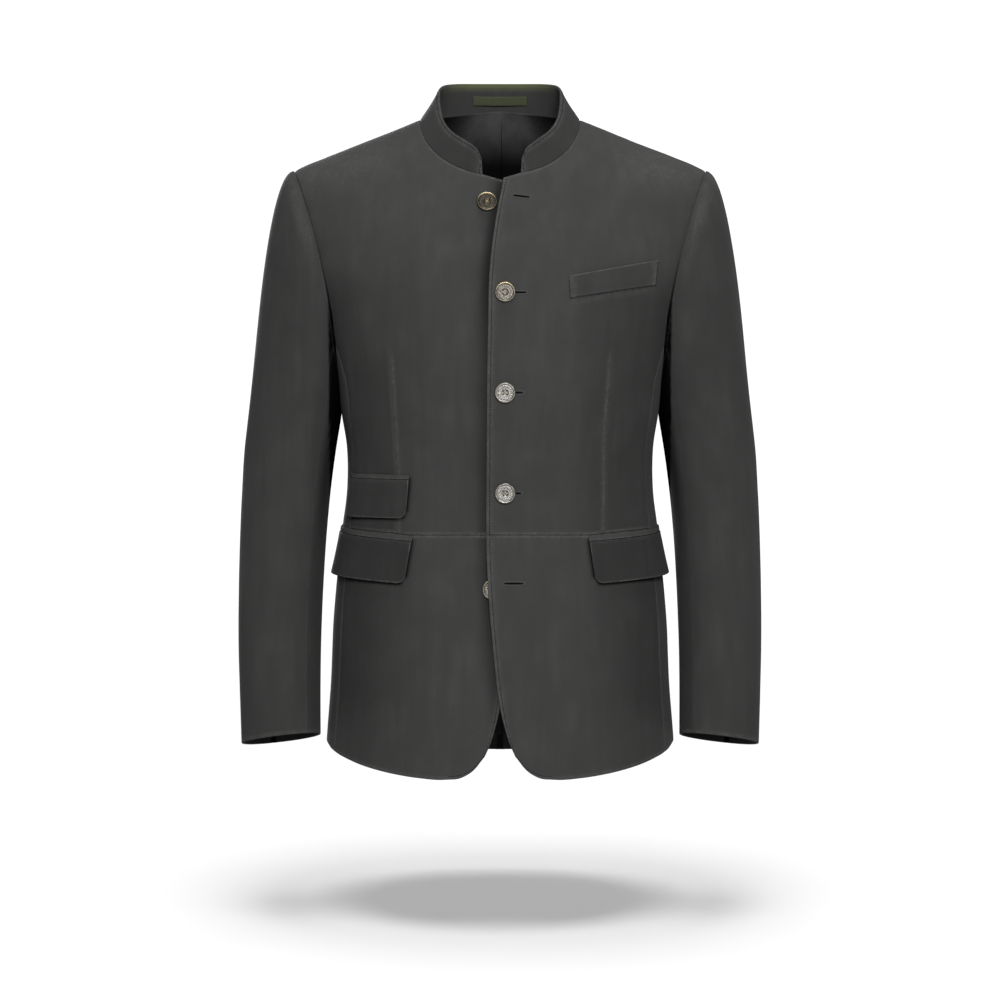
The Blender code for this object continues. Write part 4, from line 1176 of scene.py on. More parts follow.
def soft_folds(rows, across, height):
    """How far soft ridges (positive) and troughs (negative) move the cloth out."""
    moved = np.zeros(across.shape)
    for row in rows:
        way = row.out_end - row.out_top, row.end - row.top
        length = math.hypot(*way)
        along = ((across - row.out_top) * way[0] + (height - row.top) * way[1]) / length**2
        aside = ((across - row.out_top) * way[1] - (height - row.top) * way[0]) / length
        moved += row.depth * fade_ends(along, FOLD_FADE) * bell(aside, row.width)
    return moved


def face_out(points, middle):
    """Directions out of a grid of points, away from the middle, and whether its own order faces in."""
    normals = np.cross(np.gradient(points, axis=0), np.gradient(points, axis=1))
    turned = np.sum(normals * (points - np.array(middle))) < 0
    return unit(-normals if turned else normals), turned


class Cloth:
    """A closed shell of cloth on a grid of points, with rounded edges and soft, uneven seams."""

    def __init__(
        self, name, points, thickness, looks, rise=0.0, rub=0.0, shade=0.0, sway=SWAY, middle=BODY_MIDDLE
    ):
        self.name = name
        self.thickness = thickness
        self.gaps = runs(points)
        self.normals, self.turned = face_out(points, middle)
        self.roll = np.zeros(points.shape[:-1])
        # Paleness of worn edges and of painted highlights, and painted shade
        self.rub = self.roll + rub
        self.shade = self.roll + shade
        self.rise = rise + sway * grain(points, SWAY_SCALE, SWAY_SEED)
        pucker = grain(points, PUCKER_SCALE, PUCKER_SEED)
        for look, gap in zip(looks, self.gaps):
            self.shape_edge(look, gap, pucker)
        uneven = WEAR_AND_HIGHLIGHT_EVEN + WEAR_AND_HIGHLIGHT_UNEVEN * grain(points, WEAR_AND_HIGHLIGHT_SCALE, WEAR_AND_HIGHLIGHT_SEED)
        self.rub = np.clip(self.rub * uneven, 0, 1)
        self.outer = points + self.normals * (self.rise - self.roll)[..., None]
        self.inner = points + self.normals * (self.rise + self.roll - thickness)[..., None]

    def shape_edge(self, look, gap, pucker):
        into = np.clip(1 - gap / look.roll, 0, 1)
        round_off = ROUND_SHARE * self.thickness * (1 - np.sqrt(1 - into**2))
        self.roll = np.maximum(self.roll, round_off)
        self.rise = self.rise - look.dip * bell(gap, DIP_WIDTH) * (1 + pucker)
        if look.stitched:
            self.rise = self.rise - GROOVE_DEPTH * bell(gap - look.stitched, GROOVE_WIDTH)
        self.rub = np.maximum(self.rub, look.rub * np.exp(-((gap / look.rub_width) ** 4)))

    def build(self, materials, slot, inside_shade=None):
        """Adds the object. Its outside and rim take the first material, and its inside the second."""
        columns, rows = self.rub.shape
        count = columns * rows
        index = np.arange(count).reshape(columns, rows)
        corners = index[:-1, :-1], index[1:, :-1], index[1:, 1:], index[:-1, 1:]
        quads = np.stack(corners, axis=-1).reshape(-1, 4)
        ring = np.concatenate([index[:-1, 0], index[-1, :-1], index[:0:-1, -1], index[0, :0:-1]])
        onward = np.roll(ring, -1)
        rim = np.stack([onward, ring, ring + count, onward + count], axis=-1)
        faces = np.concatenate([quads, rim, quads[:, ::-1] + count])
        if self.turned:
            faces = faces[:, ::-1]
        points = np.concatenate([self.outer.reshape(-1, 3), self.inner.reshape(-1, 3)])
        obj = add_mesh(self.name + "_cloth", points, faces, materials)
        inside = np.arange(len(faces)) >= len(quads) + len(rim)
        obj.data.polygons.foreach_set("material_index", inside.astype(int))
        add_values(obj, "rub", np.tile(self.rub.reshape(-1), 2))
        inner_shade = self.shade if inside_shade is None else np.zeros(self.shade.shape) + inside_shade
        add_values(obj, "shade", np.concatenate([self.shade.reshape(-1), inner_shade.reshape(-1)]))
        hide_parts(self.name)
        return obj

    def rows_from(self, edge, values):
        """The values as rows that follow an edge, the edge's own row first."""
        rows = values.swapaxes(0, 1) if edge in (BOTTOM, TOP) else values
        return rows[::-1] if edge in (RIGHT, TOP) else rows

    def build_allowances(self, material, spans):
        """Strips of seam allowance from behind sewn edges to behind the next pieces, as one object."""
        points, faces = [], []
        for edge, (start, end) in spans.items():
            inner = self.rows_from(edge, self.inner)
            depths = self.rows_from(edge, self.gaps[edge]).mean(axis=1)
            row = int(np.argmax(depths > ALLOWANCE_IN))
            reach = self.rows_from(edge, self.gaps[BOTTOM if edge in (LEFT, RIGHT) else LEFT])[0]
            keep = (reach >= start * reach[-1]) & (reach <= end * reach[-1])
            drop = self.rows_from(edge, self.normals)[0, keep] * ALLOWANCE_DROP
            onward = inner[0, keep] + unit(inner[0, keep] - inner[row, keep]) * ALLOWANCE_OUT
            low = len(points)
            high = low + len(drop)
            points.extend([*(inner[row, keep] - drop), *(onward - drop)])
            faces.extend((low + i, low + i + 1, high + i + 1, high + i) for i in range(len(drop) - 1))
        strip = add_mesh(self.name + "_allowance", np.array(points), faces, (material,))
        return strip

    def declare(self, obj, held, rests_on, with_pieces=()):
        """Works out what the cloth was cut to: its width and length, laid flat, and its area, and does
        nothing more with them.
        """
        width = self.gaps[LEFT][-1].max()
        length = self.gaps[BOTTOM][:, -1].max()
        area = min(self.area(), width * length)

    def area(self):
        """The area of one face of the cloth."""
        across, along = np.diff(self.outer, axis=0), np.diff(self.outer, axis=1)
        return float(np.linalg.norm(np.cross(across[:, :-1], along[:-1]), axis=-1).sum())

    def beside(self, edge, distance):
        """Points and normals of the line that keeps this distance from an edge."""
        gap = self.rows_from(edge, self.gaps[edge])
        lines = []
        for values in (self.outer, self.normals):
            rows = self.rows_from(edge, values)
            columns = zip(gap.T, rows.swapaxes(0, 1))
            lines.append(np.array([at_length(distance, reach, column) for reach, column in columns]))
        return lines[0], unit(lines[1])


def add_mesh(name, points, faces, materials):
    mesh = bpy.data.meshes.new(name)
    mesh.from_pydata(points.tolist(), [], [list(map(int, face)) for face in faces])
    mesh.polygons.foreach_set("use_smooth", np.ones(len(mesh.polygons), bool))
    for material in materials:
        mesh.materials.append(material)
    obj = bpy.data.objects.new(name, mesh)
    bpy.context.scene.collection.objects.link(obj)
    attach(obj, "root")
    return obj


def add_values(obj, name, values):
    """A number for each point of a mesh, which its material reads."""
    obj.data.attributes.new(name, "FLOAT", "POINT").data.foreach_set("value", values.astype(np.float32))


# Materials


def new_material(name, colour, roughness):
    """A Principled material, with its tree, its shader and coordinates in metres."""
    material = bpy.data.materials.new(name)
    material.use_nodes = True
    tree = material.node_tree
    shader = tree.nodes["Principled BSDF"]
    shader.inputs["Base Color"].default_value = (*colour, 1)
    shader.inputs["Roughness"].default_value = roughness
    return material, tree, shader, add_node(tree, "TexCoord", "Object", {})


def add_node(tree, kind, output, inputs, **settings):
    """Adds a node and returns one of its outputs. An input is a value or another node's output."""
    node = tree.nodes.new("ShaderNode" + kind)
    for name, setting in settings.items():
        setattr(node, name, setting)
    for name, value in inputs.items():
        if isinstance(value, bpy.types.NodeSocket):
            tree.links.new(value, node.inputs[name])
        else:
            node.inputs[name].default_value = value
    return node.outputs[output]


def add_noise(tree, place, row):
    """A row's noise, stretched along each axis and spread from 0 to 1 where the row says so."""
    if row.stretch:
        place = add_node(tree, "Mapping", "Vector", {"Vector": place, "Scale": row.stretch})
    value = add_node(tree, "TexNoise", "Fac", {"Vector": place, "Scale": row.scale, "Detail": row.detail})
    return add_range(tree, value, *row.shown) if row.shown else value


def add_range(tree, value, low, high, to_low=0.0, to_high=1.0):
    ends = {"From Min": low, "From Max": high, "To Min": to_low, "To Max": to_high}
    return add_node(tree, "MapRange", "Result", {"Value": value, **ends})


def add_mix(tree, share, first, second):
    """A colour between two, each a colour or another node's output."""
    inputs = {"Factor": share}
    for socket, colour in ((MIX_FIRST, first), (MIX_SECOND, second)):
        inputs[socket] = (*colour, 1) if isinstance(colour, tuple) else colour
    return add_node(tree, "Mix", MIX_RESULT, inputs, data_type="RGBA")


def add_times(tree, first, second):
    return add_node(tree, "Math", 0, {0: first, 1: second}, operation="MULTIPLY")


def add_bump(tree, shader, height, row, under=None):
    inputs = {"Height": height, "Distance": row.distance, "Strength": row.strength}
    if under:
        inputs["Normal"] = under
    normal = add_node(tree, "Bump", "Normal", inputs)
    tree.links.new(normal, shader.inputs["Normal"])
    return normal


def read_value(tree, name):
    return add_node(tree, "Attribute", "Fac", {}, attribute_name=name)


def dimmed(colour, share):
    return tuple(share * channel for channel in colour)


def suede_material():
    material, tree, shader, place = new_material("suede_nap", SUEDE_DARK, SUEDE_ROUGHNESS)
    blotch = add_noise(tree, place, SUEDE_BLOTCH)
    streak = add_noise(tree, place, SUEDE_STREAK)
    nap = add_noise(tree, place, SUEDE_NAP)
    # The painted shade, read from the shade attribute
    shade = read_value(tree, "shade")
    # Worn edges and painted highlights, made uneven by a noise
    worn_and_highlit = add_times(tree, read_value(tree, "rub"), add_noise(tree, place, SUEDE_WEAR_AND_HIGHLIGHT))
    raised = add_range(tree, nap, *SUEDE_NAP_SHOWN, 0.0, SUEDE_NAP_MOST)
    colour = add_mix(tree, add_times(tree, blotch, streak), SUEDE_DARK, SUEDE_LIGHT)
    colour = add_mix(tree, raised, colour, SUEDE_LIGHT)
    colour = add_mix(tree, shade, colour, SUEDE_PAINTED_SHADE)
    colour = add_mix(tree, worn_and_highlit, colour, SUEDE_WORN_AND_HIGHLIT)
    colour = add_mix(tree, read_value(tree, "olive"), colour, OLIVE)
    tree.links.new(colour, shader.inputs["Base Color"])
    # Specular and sheen fade out where shade is painted
    for name, most in SUEDE_SHINE.items():
        tree.links.new(add_range(tree, shade, *SUEDE_SHINE_SHADES, most, 0.0), shader.inputs[name])
    shader.inputs["Sheen Roughness"].default_value = SUEDE_SHEEN_ROUGHNESS
    soft = add_bump(tree, shader, add_noise(tree, place, SUEDE_WAVES), SUEDE_WAVE_BUMP)
    add_bump(tree, shader, nap, SUEDE_NAP_BUMP, soft)
    return material


def lining_material():
    material, tree, shader, place = new_material("lining_satin", LINING_DARK, LINING_ROUGHNESS)
    colour = add_mix(tree, add_noise(tree, place, LINING_STREAK), LINING_DARK, LINING_LIGHT)
    # Painted shade, read from the shade attribute
    colour = add_mix(tree, read_value(tree, "shade"), colour, LINING_PAINTED_SHADE)
    tree.links.new(colour, shader.inputs["Base Color"])
    shader.inputs["Specular IOR Level"].default_value = LINING_SPECULAR
    soft = add_bump(tree, shader, add_noise(tree, place, LINING_WAVES), LINING_WAVE_BUMP)
    add_bump(tree, shader, add_noise(tree, place, LINING_WEAVE), LINING_WEAVE_BUMP, soft)
    return material


def tape_material():
    material, tree, shader, place = new_material("loop_tape", TAPE_COLOUR, TAPE_ROUGHNESS)
    inputs = {"Vector": place, "Scale": TAPE_WEAVE_SCALE, "Distortion": TAPE_WEAVE_DISTORTION}
    weave = add_node(tree, "TexWave", "Fac", inputs)
    shown = add_range(tree, weave, *TAPE_SHOWN)
    colour = add_mix(tree, shown, dimmed(TAPE_COLOUR, TAPE_DARK_SHARE), TAPE_COLOUR)
    tree.links.new(colour, shader.inputs["Base Color"])
    add_bump(tree, shader, weave, TAPE_BUMP)
    return material


def metal_material():
    material, tree, shader, place = new_material("button_antique", SILVER, METAL_ROUGHNESS)
    shader.inputs["Metallic"].default_value = 1.0
    spots = add_noise(tree, place, METAL_SPOTS)
    colour = add_mix(tree, add_range(tree, spots, *METAL_PATINA_SHOWN), SILVER, PATINA)
    # Darker towards bronze by each button's share
    colour = add_mix(tree, read_value(tree, "bronze_share"), colour, BRONZE)
    # Brass: the rims' tint, and a painted highlight over their tops
    colour = add_mix(tree, read_value(tree, "brass_and_highlight"), colour, BRASS_AND_HIGHLIGHT)
    tree.links.new(colour, shader.inputs["Base Color"])
    rough = add_range(tree, spots, *METAL_ROUGH_SHOWN, *METAL_ROUGH_ENDS)
    tree.links.new(rough, shader.inputs["Roughness"])
    add_bump(tree, shader, spots, METAL_BUMP)
    return material


def thread_material(name, colour):
    material, tree, shader, place = new_material(name, colour, THREAD_ROUGHNESS)
    shader.inputs["Specular IOR Level"].default_value = 0.0
    twist = add_noise(tree, place, THREAD_TWIST)
    twisted = add_mix(tree, twist, dimmed(colour, THREAD_DARK_SHARE), colour)
    tree.links.new(twisted, shader.inputs["Base Color"])
    add_bump(tree, shader, twist, THREAD_BUMP)
    return material


def floor_material():
    material, tree, shader, place = new_material("floor_paint", FLOOR_COLOUR, FLOOR_ROUGHNESS)
    tone = add_noise(tree, place, FLOOR_TONE)
    colour = add_mix(tree, tone, dimmed(FLOOR_COLOUR, FLOOR_DARK_SHARE), FLOOR_COLOUR)
    tree.links.new(colour, shader.inputs["Base Color"])
    return material


# Painted shade, painted shadows and painted highlights on the nap


def mark(row, across, height):
    """How strong a mark is here: none where a fade starts, and the most where both have ended."""
    return row.most * smooth(across, *row.across) * smooth(height, *row.heights)


def dart_out(side, height):
    """How far out from the centre the dart runs at this height."""
    rows = DARTS[side]
    return np.interp(height, [row.height for row in rows], [row.out for row in rows])


def dart_marks(side, points):
    """How far the dart's seam pulls the cloth in, how pale it is rubbed in front, and the painted shade
    behind it.
    """
    x, _, z = parts(points)
    aside = side * x - dart_out(side, z)
    top = DARTS[side][-1].height
    fade = smooth(z, top, top - DART_FADE)
    groove = DART_DEPTH * bell(aside, DART_WIDTH) * fade
    rub = DART_RUB * bell(aside + DART_RUB_SHIFT, DART_RUB_WIDTH) * fade
    return groove, rub, mark(DART_SHADE, aside, z)


def flank_marks(side, points):
    """The painted highlight on an upper front's shoulder, and painted shade down its flank and armhole."""
    x, _, z = parts(points)
    shade = np.maximum(mark(FLANK_SHADE[side], side * x, z), mark(ARMHOLE_SHADE, side * x, z))
    return mark(SHOULDER_HIGHLIGHT, side * x, z), shade


def welt_marks(points):
    """The painted highlight on the left front below the welt, and the painted shadow under its lower seam.
    """
    out, _, height = parts(points)
    along = (out - WELT_INNER_LOW[0]) / (WELT_OUTER_LOW[0] - WELT_INNER_LOW[0])
    below = mix(WELT_INNER_LOW[1], WELT_OUTER_LOW[1], along) - height
    within = fade_ends(along, WELT_END_FADE)
    rub = WELT_HIGHLIGHT * within * bell(below - WELT_HIGHLIGHT_DROP, WELT_HIGHLIGHT_DROP)
    return rub, WELT_SEAM_SHADE * within * bell(below, WELT_SEAM_WIDTH)


def lap_shade(points):
    """The painted shadow on the right front beside the edge of the left front, which stands over it."""
    v = np.linspace(0, 1, LAP_SAMPLES)
    upper = front_upper_patch(1)(0 * v, v)
    lower = round_torso(*parts(front_lower_patch(1)(0 * v, v)))
    heights = np.concatenate([lower[:, 2], upper[:, 1]])
    edges = np.concatenate([lower[:, 0], upper[:, 0]])
    order = np.argsort(heights)
    aside = np.interp(points[..., 2], heights[order], edges[order]) - points[..., 0]
    depth = mix(LAP_SHADE, LAP_TOP_SHADE, smooth(points[..., 2], *LAP_TOP_HEIGHTS))
    return depth * bell(np.maximum(aside, 0), LAP_SHADE_WIDTH)


def cast_shade(side, points):
    """Painted shadow on a front beside what stands over it: the flaps, and the left front over the right
    one.
    """
    shade = lap_shade(points) if side < 0 else np.zeros(points.shape[:-1])
    share = np.linspace(0, 1, FLAP_SAMPLES)
    for pocket in POCKETS.values():
        if pocket.side == side:
            ends = flap_points(pocket, 0 * share, share), flap_points(pocket, share, 0 * share)
            edge = np.concatenate(ends)[:, (0, 2)]
            apart = np.linalg.norm(points[..., None, (0, 2)] - edge, axis=-1).min(axis=-1)
            shade = np.maximum(shade, FLAP_CAST * bell(apart, FLAP_CAST_WIDTH))
    return shade


def arm_shade(around, points):
    """The painted shade on the left sleeve under the arm, and down the side that faces the body."""
    out, _, height = parts(points)
    return np.maximum(mark(ARMPIT_SHADE, out, height), mark(INNER_ARM_SHADE, np.abs(around), height))


def cap_highlight(points):
    """The painted highlight on the left sleeve's head along the armhole, where the seam allowance pads it.
    """
    out, _, height = parts(points)
    aside = out - armhole_out(height)
    return mark(CAP_HIGHLIGHT, aside, height) * smooth(aside, *CAP_HIGHLIGHT_END)


# The pieces of cloth


def body_rise(folds, points):
    return soft_folds(folds, np.abs(points[..., 0]), points[..., 2])


def lapped(side, points):
    """Points of a front, the left one lifted where it laps over the right one."""
    return lifted(points, lap_lift(points[..., 0], points[..., 2])) if side > 0 else points


def corner_short(radius, from_end):
    """How far a rounded corner falls short of a square one, by the distance from its end."""
    return radius - np.sqrt(radius**2 - np.maximum(radius - from_end, 0) ** 2)


def follow_dart(u, v, patch, side):
    """Slides the grid's columns so that the dart's own column runs down the dart."""
    column = int(np.argmin(np.abs(u[:, 0] - DART_SHARE)))
    for _ in range(DART_TRIES):
        spot = patch(u, v)
        slope = (spot[column + 1, :, 0] - spot[column - 1, :, 0]) / (u[column + 1] - u[column - 1])
        apart = dart_out(side, spot[column, :, 1]) - spot[column, :, 0]
        shift = apart / slope * smooth(v[column], *DART_FOLLOWED)
        u = u + shift * np.where(u <= u[column], u / u[column], (1 - u) / (1 - u[column]))
    return u


def sew(cloth, fabrics, allowance, rests_on, kind):
    """Builds a piece of the shell with its seam allowances, which it returns."""
    # Painted shade on the piece's inside
    obj = cloth.build(fabrics, "suede", INSIDE_SHADE)
    strip = cloth.build_allowances(allowance, ALLOWANCES[kind])
    cloth.declare(obj, "hung", rests_on, [strip])
    return strip


def build_front_upper(side, word, fabrics, hidden):
    patch = front_upper_patch(side)
    beside_dart = DART_SHARE + DART_REACH * np.linspace(-1, 1, DART_COLUMNS) ** 3
    u, v = grid(*FRONT_UPPER_GRID, (BARE_SHARE, *beside_dart), FRONT_BREAKS)
    out, height = parts(patch(follow_dart(u, v, patch, side), v))
    points = on_torso(side * out, height, -1)
    groove, dart_rub, dart_shade = dart_marks(side, points)
    marks = [(dart_rub, dart_shade), flank_marks(side, points)]
    if side > 0:
        marks.append(welt_marks(points))
    # Paleness of the dart's rubbed edge and painted highlights; painted shade and painted shadows
    rub = np.max([rub for rub, _ in marks], axis=0)
    shade = np.max([cast_shade(side, points), *(shade for _, shade in marks)], axis=0)
    rise = body_rise(FRONT_UPPER_FOLDS + FRONT_PULLS[side], points) - groove
    looks = SEWN_EDGE, PLAIN_SEAM, RUBBED_SEAM, RUBBED_SEAM
    front = Cloth(f"front_upper_{word}", lapped(side, points), SUEDE, looks, rise, rub, shade)
    sew(front, fabrics, hidden, ["collar", f"back_{word}"], "front_upper")
    return front


def build_front_lower(side, word, fabrics, hidden):
    turn, height = parts(front_lower_patch(side)(*grid(*FRONT_LOWER_GRID)))
    points = round_torso(side * turn, height)
    # Painted shade down the skirt's flank, less near the hem
    flank = SKIRT_SHADE * smooth(side * points[..., 0], *SKIRT_SHADE_ACROSS)
    flank = flank * (1 - HEM_PALER * smooth(height, *HEM_PALER_HEIGHTS))
    shade = np.maximum(cast_shade(side, points), flank)
    rise = body_rise(FRONT_LOWER_FOLDS, points)
    looks = SEWN_EDGE, SEAM, HEM_EDGE, RUBBED_SEAM
    skirt = Cloth(f"front_lower_{word}", lapped(side, points), SUEDE, looks, rise, shade=shade)
    sew(skirt, fabrics, hidden, [f"front_upper_{word}"], "front_lower")
    return skirt


def build_side(side, word, fabrics, hidden):
    turn, height = parts(side_patch(*grid(*SIDE_GRID)))
    points = round_torso(side * turn, height)
    looks = SEAM, SEAM, HEM_EDGE, SEAM
    rise = body_rise(SIDE_FOLDS, points)
    # Painted shade over the whole side panel
    panel = Cloth(f"side_{word}", points, SUEDE, looks, rise, shade=SIDE_PANEL_SHADE)
    sew(panel, fabrics, hidden, [f"front_upper_{word}", f"back_{word}"], "side")


def build_back(side, word, fabrics, hidden):
    u, v = grid(*BACK_GRID, (BACK_SHOULDER_FROM,), BACK_BREAKS)
    out, height = parts(back_patch(HALF_GAP)(u, v))
    points = on_torso(side * out, height, 1)
    looks = SEAM, SEAM, HEM_EDGE, SEAM
    back = Cloth(f"back_{word}", points, SUEDE, looks, body_rise(BACK_FOLDS, points))
    sew(back, fabrics, hidden, ["collar"], "back")


def build_sleeves(side, word, fabrics):
    suede, _ = fabrics
    mirror = np.array((side, 1, 1))
    seam = SEAM_GAP / (SLEEVE[0].outer - SLEEVE[0].inner)
    hind, fore = HIND_SEAM_TURN + seam, FORE_SEAM_TURN - seam
    looks = PLAIN_SEAM, SEAM, SEAM, HEM_EDGE
    for kind, first, last in (
        ("sleeve_top", hind, fore),
        ("sleeve_under", fore + 2 * seam, hind - 2 * seam + 2 * math.pi),
    ):
        u, v = grid(Way(ARM_RADIUS * (last - first)), SLEEVE_WAY)
        around = mix(first, last, u)
        around = np.where(around > math.pi, around - 2 * math.pi, around)
        points = bare_sleeve(around, v)
        height = points[..., 2]
        rise = sleeve_fold(around, height) + soft_folds(SLEEVE_LINES, ARM_RADIUS * around, height)
        rise = rise * smooth(v, 0, SLEEVE_HEAD_STILL)
        # Painted highlight on the sleeve head; painted shade over the sleeve, under the arm and down its
        # inner side
        rub = cap_highlight(points)
        shade = np.maximum(SLEEVE_SHADES[kind], arm_shade(around, points))
        middle = mirror * ARM_MIDDLE
        sleeve = Cloth(f"{kind}_{word}", mirror * points, SUEDE, looks, rise, rub, shade, middle=middle)
        strip = sew(sleeve, fabrics, suede, [f"front_upper_{word}", f"back_{word}"], "sleeve")
        # Painted shade on the armhole's seam allowance, darker lower down
        heights = np.array([vertex.co.z for vertex in strip.data.vertices])
        add_values(strip, "shade", smooth(heights, *SLEEVE_SEAM_HEIGHTS))


def build_collar(suede):
    u, v = grid(*COLLAR_GRID, (CENTRE_BACK,))
    along = 2 * u - 1
    corner = corner_short(COLLAR_CORNER, COLLAR_LENGTH * np.minimum(u, 1 - u))
    points = on_collar(along, (1 - corner / COLLAR_END_HEIGHT + COLLAR_TUCK) * v - COLLAR_TUCK)
    tucked = -COLLAR_TUCK_DEPTH * smooth(v, 2 * COLLAR_TUCK, 0)
    looks = SEWN_EDGE, SEWN_EDGE, PLAIN_SEAM, SEWN_EDGE
    # Painted shade over the collar, and inside it towards its front ends
    collar = Cloth("collar", points, COLLAR_WALL, looks, tucked, shade=COLLAR_SHADE, sway=STIFF_SWAY)
    inside_shade = COLLAR_INSIDE_SHADE * smooth(np.abs(along), *COLLAR_INSIDE_ALONG)
    obj = collar.build((suede, suede), "suede", inside_shade)
    collar.declare(obj, "stretched", ["back_left", "back_right"])
    inside = smooth(v, *OLIVE_UP) * smooth(np.abs(along), *OLIVE_ALONG)
    outside = OLIVE_OUTSIDE * inside * smooth(v, *OLIVE_OUTSIDE_UP)
    add_values(obj, "olive", np.concatenate([outside.reshape(-1), inside.reshape(-1)]))
    return collar


def build_loop(tape):
    u, v = grid(*LOOP_GRID)
    _, neck_reach = NECK[1]
    along = (2 * u - 1) * LOOP_HALF_LENGTH / neck_reach[-1]
    points = on_collar(along, mix(LOOP_LOW, LOOP_HIGH, v))
    normals, _ = face_out(points, BODY_MIDDLE)
    inset = COLLAR_WALL + LOOP_SEAT + LOOP_BOW * np.sin(math.pi * u)
    points = points - normals * inset[..., None]
    loop = Cloth("hanger_loop", points, LOOP_WALL, (CUT_EDGE,) * 4, sway=0.0)
    obj = loop.build((tape, tape), "loop")
    loop.declare(obj, "stretched", ["collar"])


def build_lining(satin):
    across = [np.linspace(row.start, row.end, row.cells + 1) for row in LINING_ACROSS]
    across = np.unique(np.concatenate(across))
    u, v = np.meshgrid(across, stations(LINING_WAY, LINING_BREAKS), indexing="ij")
    patch = back_patch(0.0, LINING_EDGE_GAP, LINING_TOP_GAP, LINING_HEM_GAP)
    out, height = parts(patch(np.abs(u), v))
    out = np.copysign(out, u)
    points = lifted(on_torso(out, height, 1), -SUEDE - LINING_INSET)
    rise = soft_folds(LINING_FOLDS, out, height) - pleat(out) * smooth(v, 1, PLEAT_OPEN_FROM)
    # Painted shade: darker down the lining and towards its sides
    low = LINING_SHADE * smooth(height, *LINING_SHADE_HEIGHTS)
    beside = LINING_SIDE_SHADE * smooth(np.abs(out), *LINING_SIDE_ACROSS)
    shade = np.maximum(low, beside)
    lining = Cloth("lining_back", points, LINING, (TURNED_EDGE,) * 4, rise, shade=shade, sway=LINED_SWAY)
    obj = lining.build((satin, satin), "lining")
    lining.declare(obj, "hung", ["back_left", "back_right"])


def pleat(out):
    """How far the lining's knife pleat stands in from the lining."""
    tuck = PLEAT_DEPTH * smooth(out, PLEAT_FROM, PLEAT_LIP)
    fall = np.clip((PLEAT_FOLD - out) / (PLEAT_FOLD - PLEAT_LIP), 0, 1)
    return np.where(out > PLEAT_LIP, PLEAT_DEPTH * fall, tuck)


def pocket_length(pocket):
    """About how long a pocket is, over the body."""
    return math.radians(pocket.back_turn - pocket.front_turn) * LENGTH_PER_RADIAN


def flap_points(pocket, u, v):
    """Points of a flap's outside: u runs from its front end and v from its bottom edge to its top."""
    corner = corner_short(FLAP_CORNER, np.minimum(u, 1 - u) * pocket_length(pocket))
    down = SEAM_GAP + (1 - v) * (pocket.height - corner)
    curl = (down / pocket.height) ** FLAP_CURL * mix(FLAP_FRONT_LIFT, 1, u)
    turn, height = pocket_spot(pocket, u, down)
    return lifted(round_torso(pocket.side * turn, height), FLAP_SEAT + pocket.stand_off * curl + FLAP_WALL)


def build_pockets(fabrics):
    suede, _ = fabrics
    for word, pocket in POCKETS.items():
        across = Way(pocket_length(pocket), FINE_CELL)
        u, v = grid(across, Way(pocket.jet_height, JET_CELL, JET_ZONE))
        turn, height = pocket_spot(pocket, u, -SEAM_GAP - pocket.jet_height * v)
        points = lifted(round_torso(pocket.side * turn, height), FLAP_SEAT + JET_WALL)
        jet = Cloth(f"jet_{word}", points, JET_WALL, (SEAM, SEAM, CUT_EDGE, SEAM), sway=JET_SWAY)
        strip = jet.build((suede, suede), "suede")

        points = flap_points(pocket, *grid(across, Way(pocket.height, FINE_CELL)))
        looks = CUT_EDGE, CUT_EDGE, CUT_EDGE, SEAM
        # Painted shade over the flap, and on its inside
        shade = FLAP_SHADES[word]
        flap = Cloth(f"flap_{word}", points, FLAP_WALL, looks, shade=shade, sway=LINED_SWAY)
        obj = flap.build(fabrics, "suede", INSIDE_SHADE)
        flap.declare(obj, "hung", [f"jet_{word}"], [strip])


def build_welt(suede):
    u, v = grid(*WELT_GRID)
    across, up = u[..., None], v[..., None]
    low = np.array(WELT_INNER_LOW) * (1 - across) + np.array(WELT_OUTER_LOW) * across
    high = np.array(WELT_INNER) * (1 - across) + np.array(WELT_OUTER) * across
    out, height = parts(low * (1 - up) + high * up)
    points = lifted(on_torso(out, height, -1), FLAP_SEAT + SUEDE)
    looks = WELT_END, WELT_END, PLAIN_SEAM, CUT_EDGE
    # Painted shade over the welt
    welt = Cloth("breast_welt", points, SUEDE, looks, shade=WELT_SHADE, sway=STIFF_SWAY)
    obj = welt.build((suede, suede), "suede")
    welt.declare(obj, "stretched", ["front_upper_left"])
    return welt


# Sewing, buttonholes and buttons


def add_tube(points, faces, centres, normals, radii):
    """Adds a closed tube with one ring at each centre."""
    way = unit(np.gradient(centres, axis=0))
    up = unit(normals - way * np.sum(normals * way, axis=-1, keepdims=True))
    aside = np.cross(way, up)
    first = len(points)
    turns = np.arange(TUBE_SIDES) * 2 * math.pi / TUBE_SIDES
    for centre, a, b, radius in zip(centres, aside, up, radii):
        points.extend(centre + radius * (a * math.cos(turn) + b * math.sin(turn)) for turn in turns)
    rings = np.arange(first, len(points)).reshape(-1, TUBE_SIDES)
    for low, high in zip(rings, rings[1:]):
        faces.extend(zip(low, high, np.roll(high, -1), np.roll(low, -1)))
    faces.extend([rings[0], rings[-1][::-1]])


def add_stitches(name, lines, material):
    """A row of stitches along each line of points and normals, as one object."""
    points, faces = [], []
    lift = STITCH_RADIUS * np.array(STITCH_LIFTS)
    radii = STITCH_RADIUS * np.array(STITCH_GIRTHS)
    for line, normals in lines:
        reach = lengths_along(line)
        for i in range(int((reach[-1] - STITCH_LENGTH) / STITCH_PITCH)):
            places = i * STITCH_PITCH + STITCH_LENGTH * np.linspace(0, 1, len(radii))
            out = unit(at_length(places, reach, normals))
            add_tube(points, faces, at_length(places, reach, line) + out * lift[:, None], out, radii)
    add_mesh(name, np.array(points), faces, (material,))


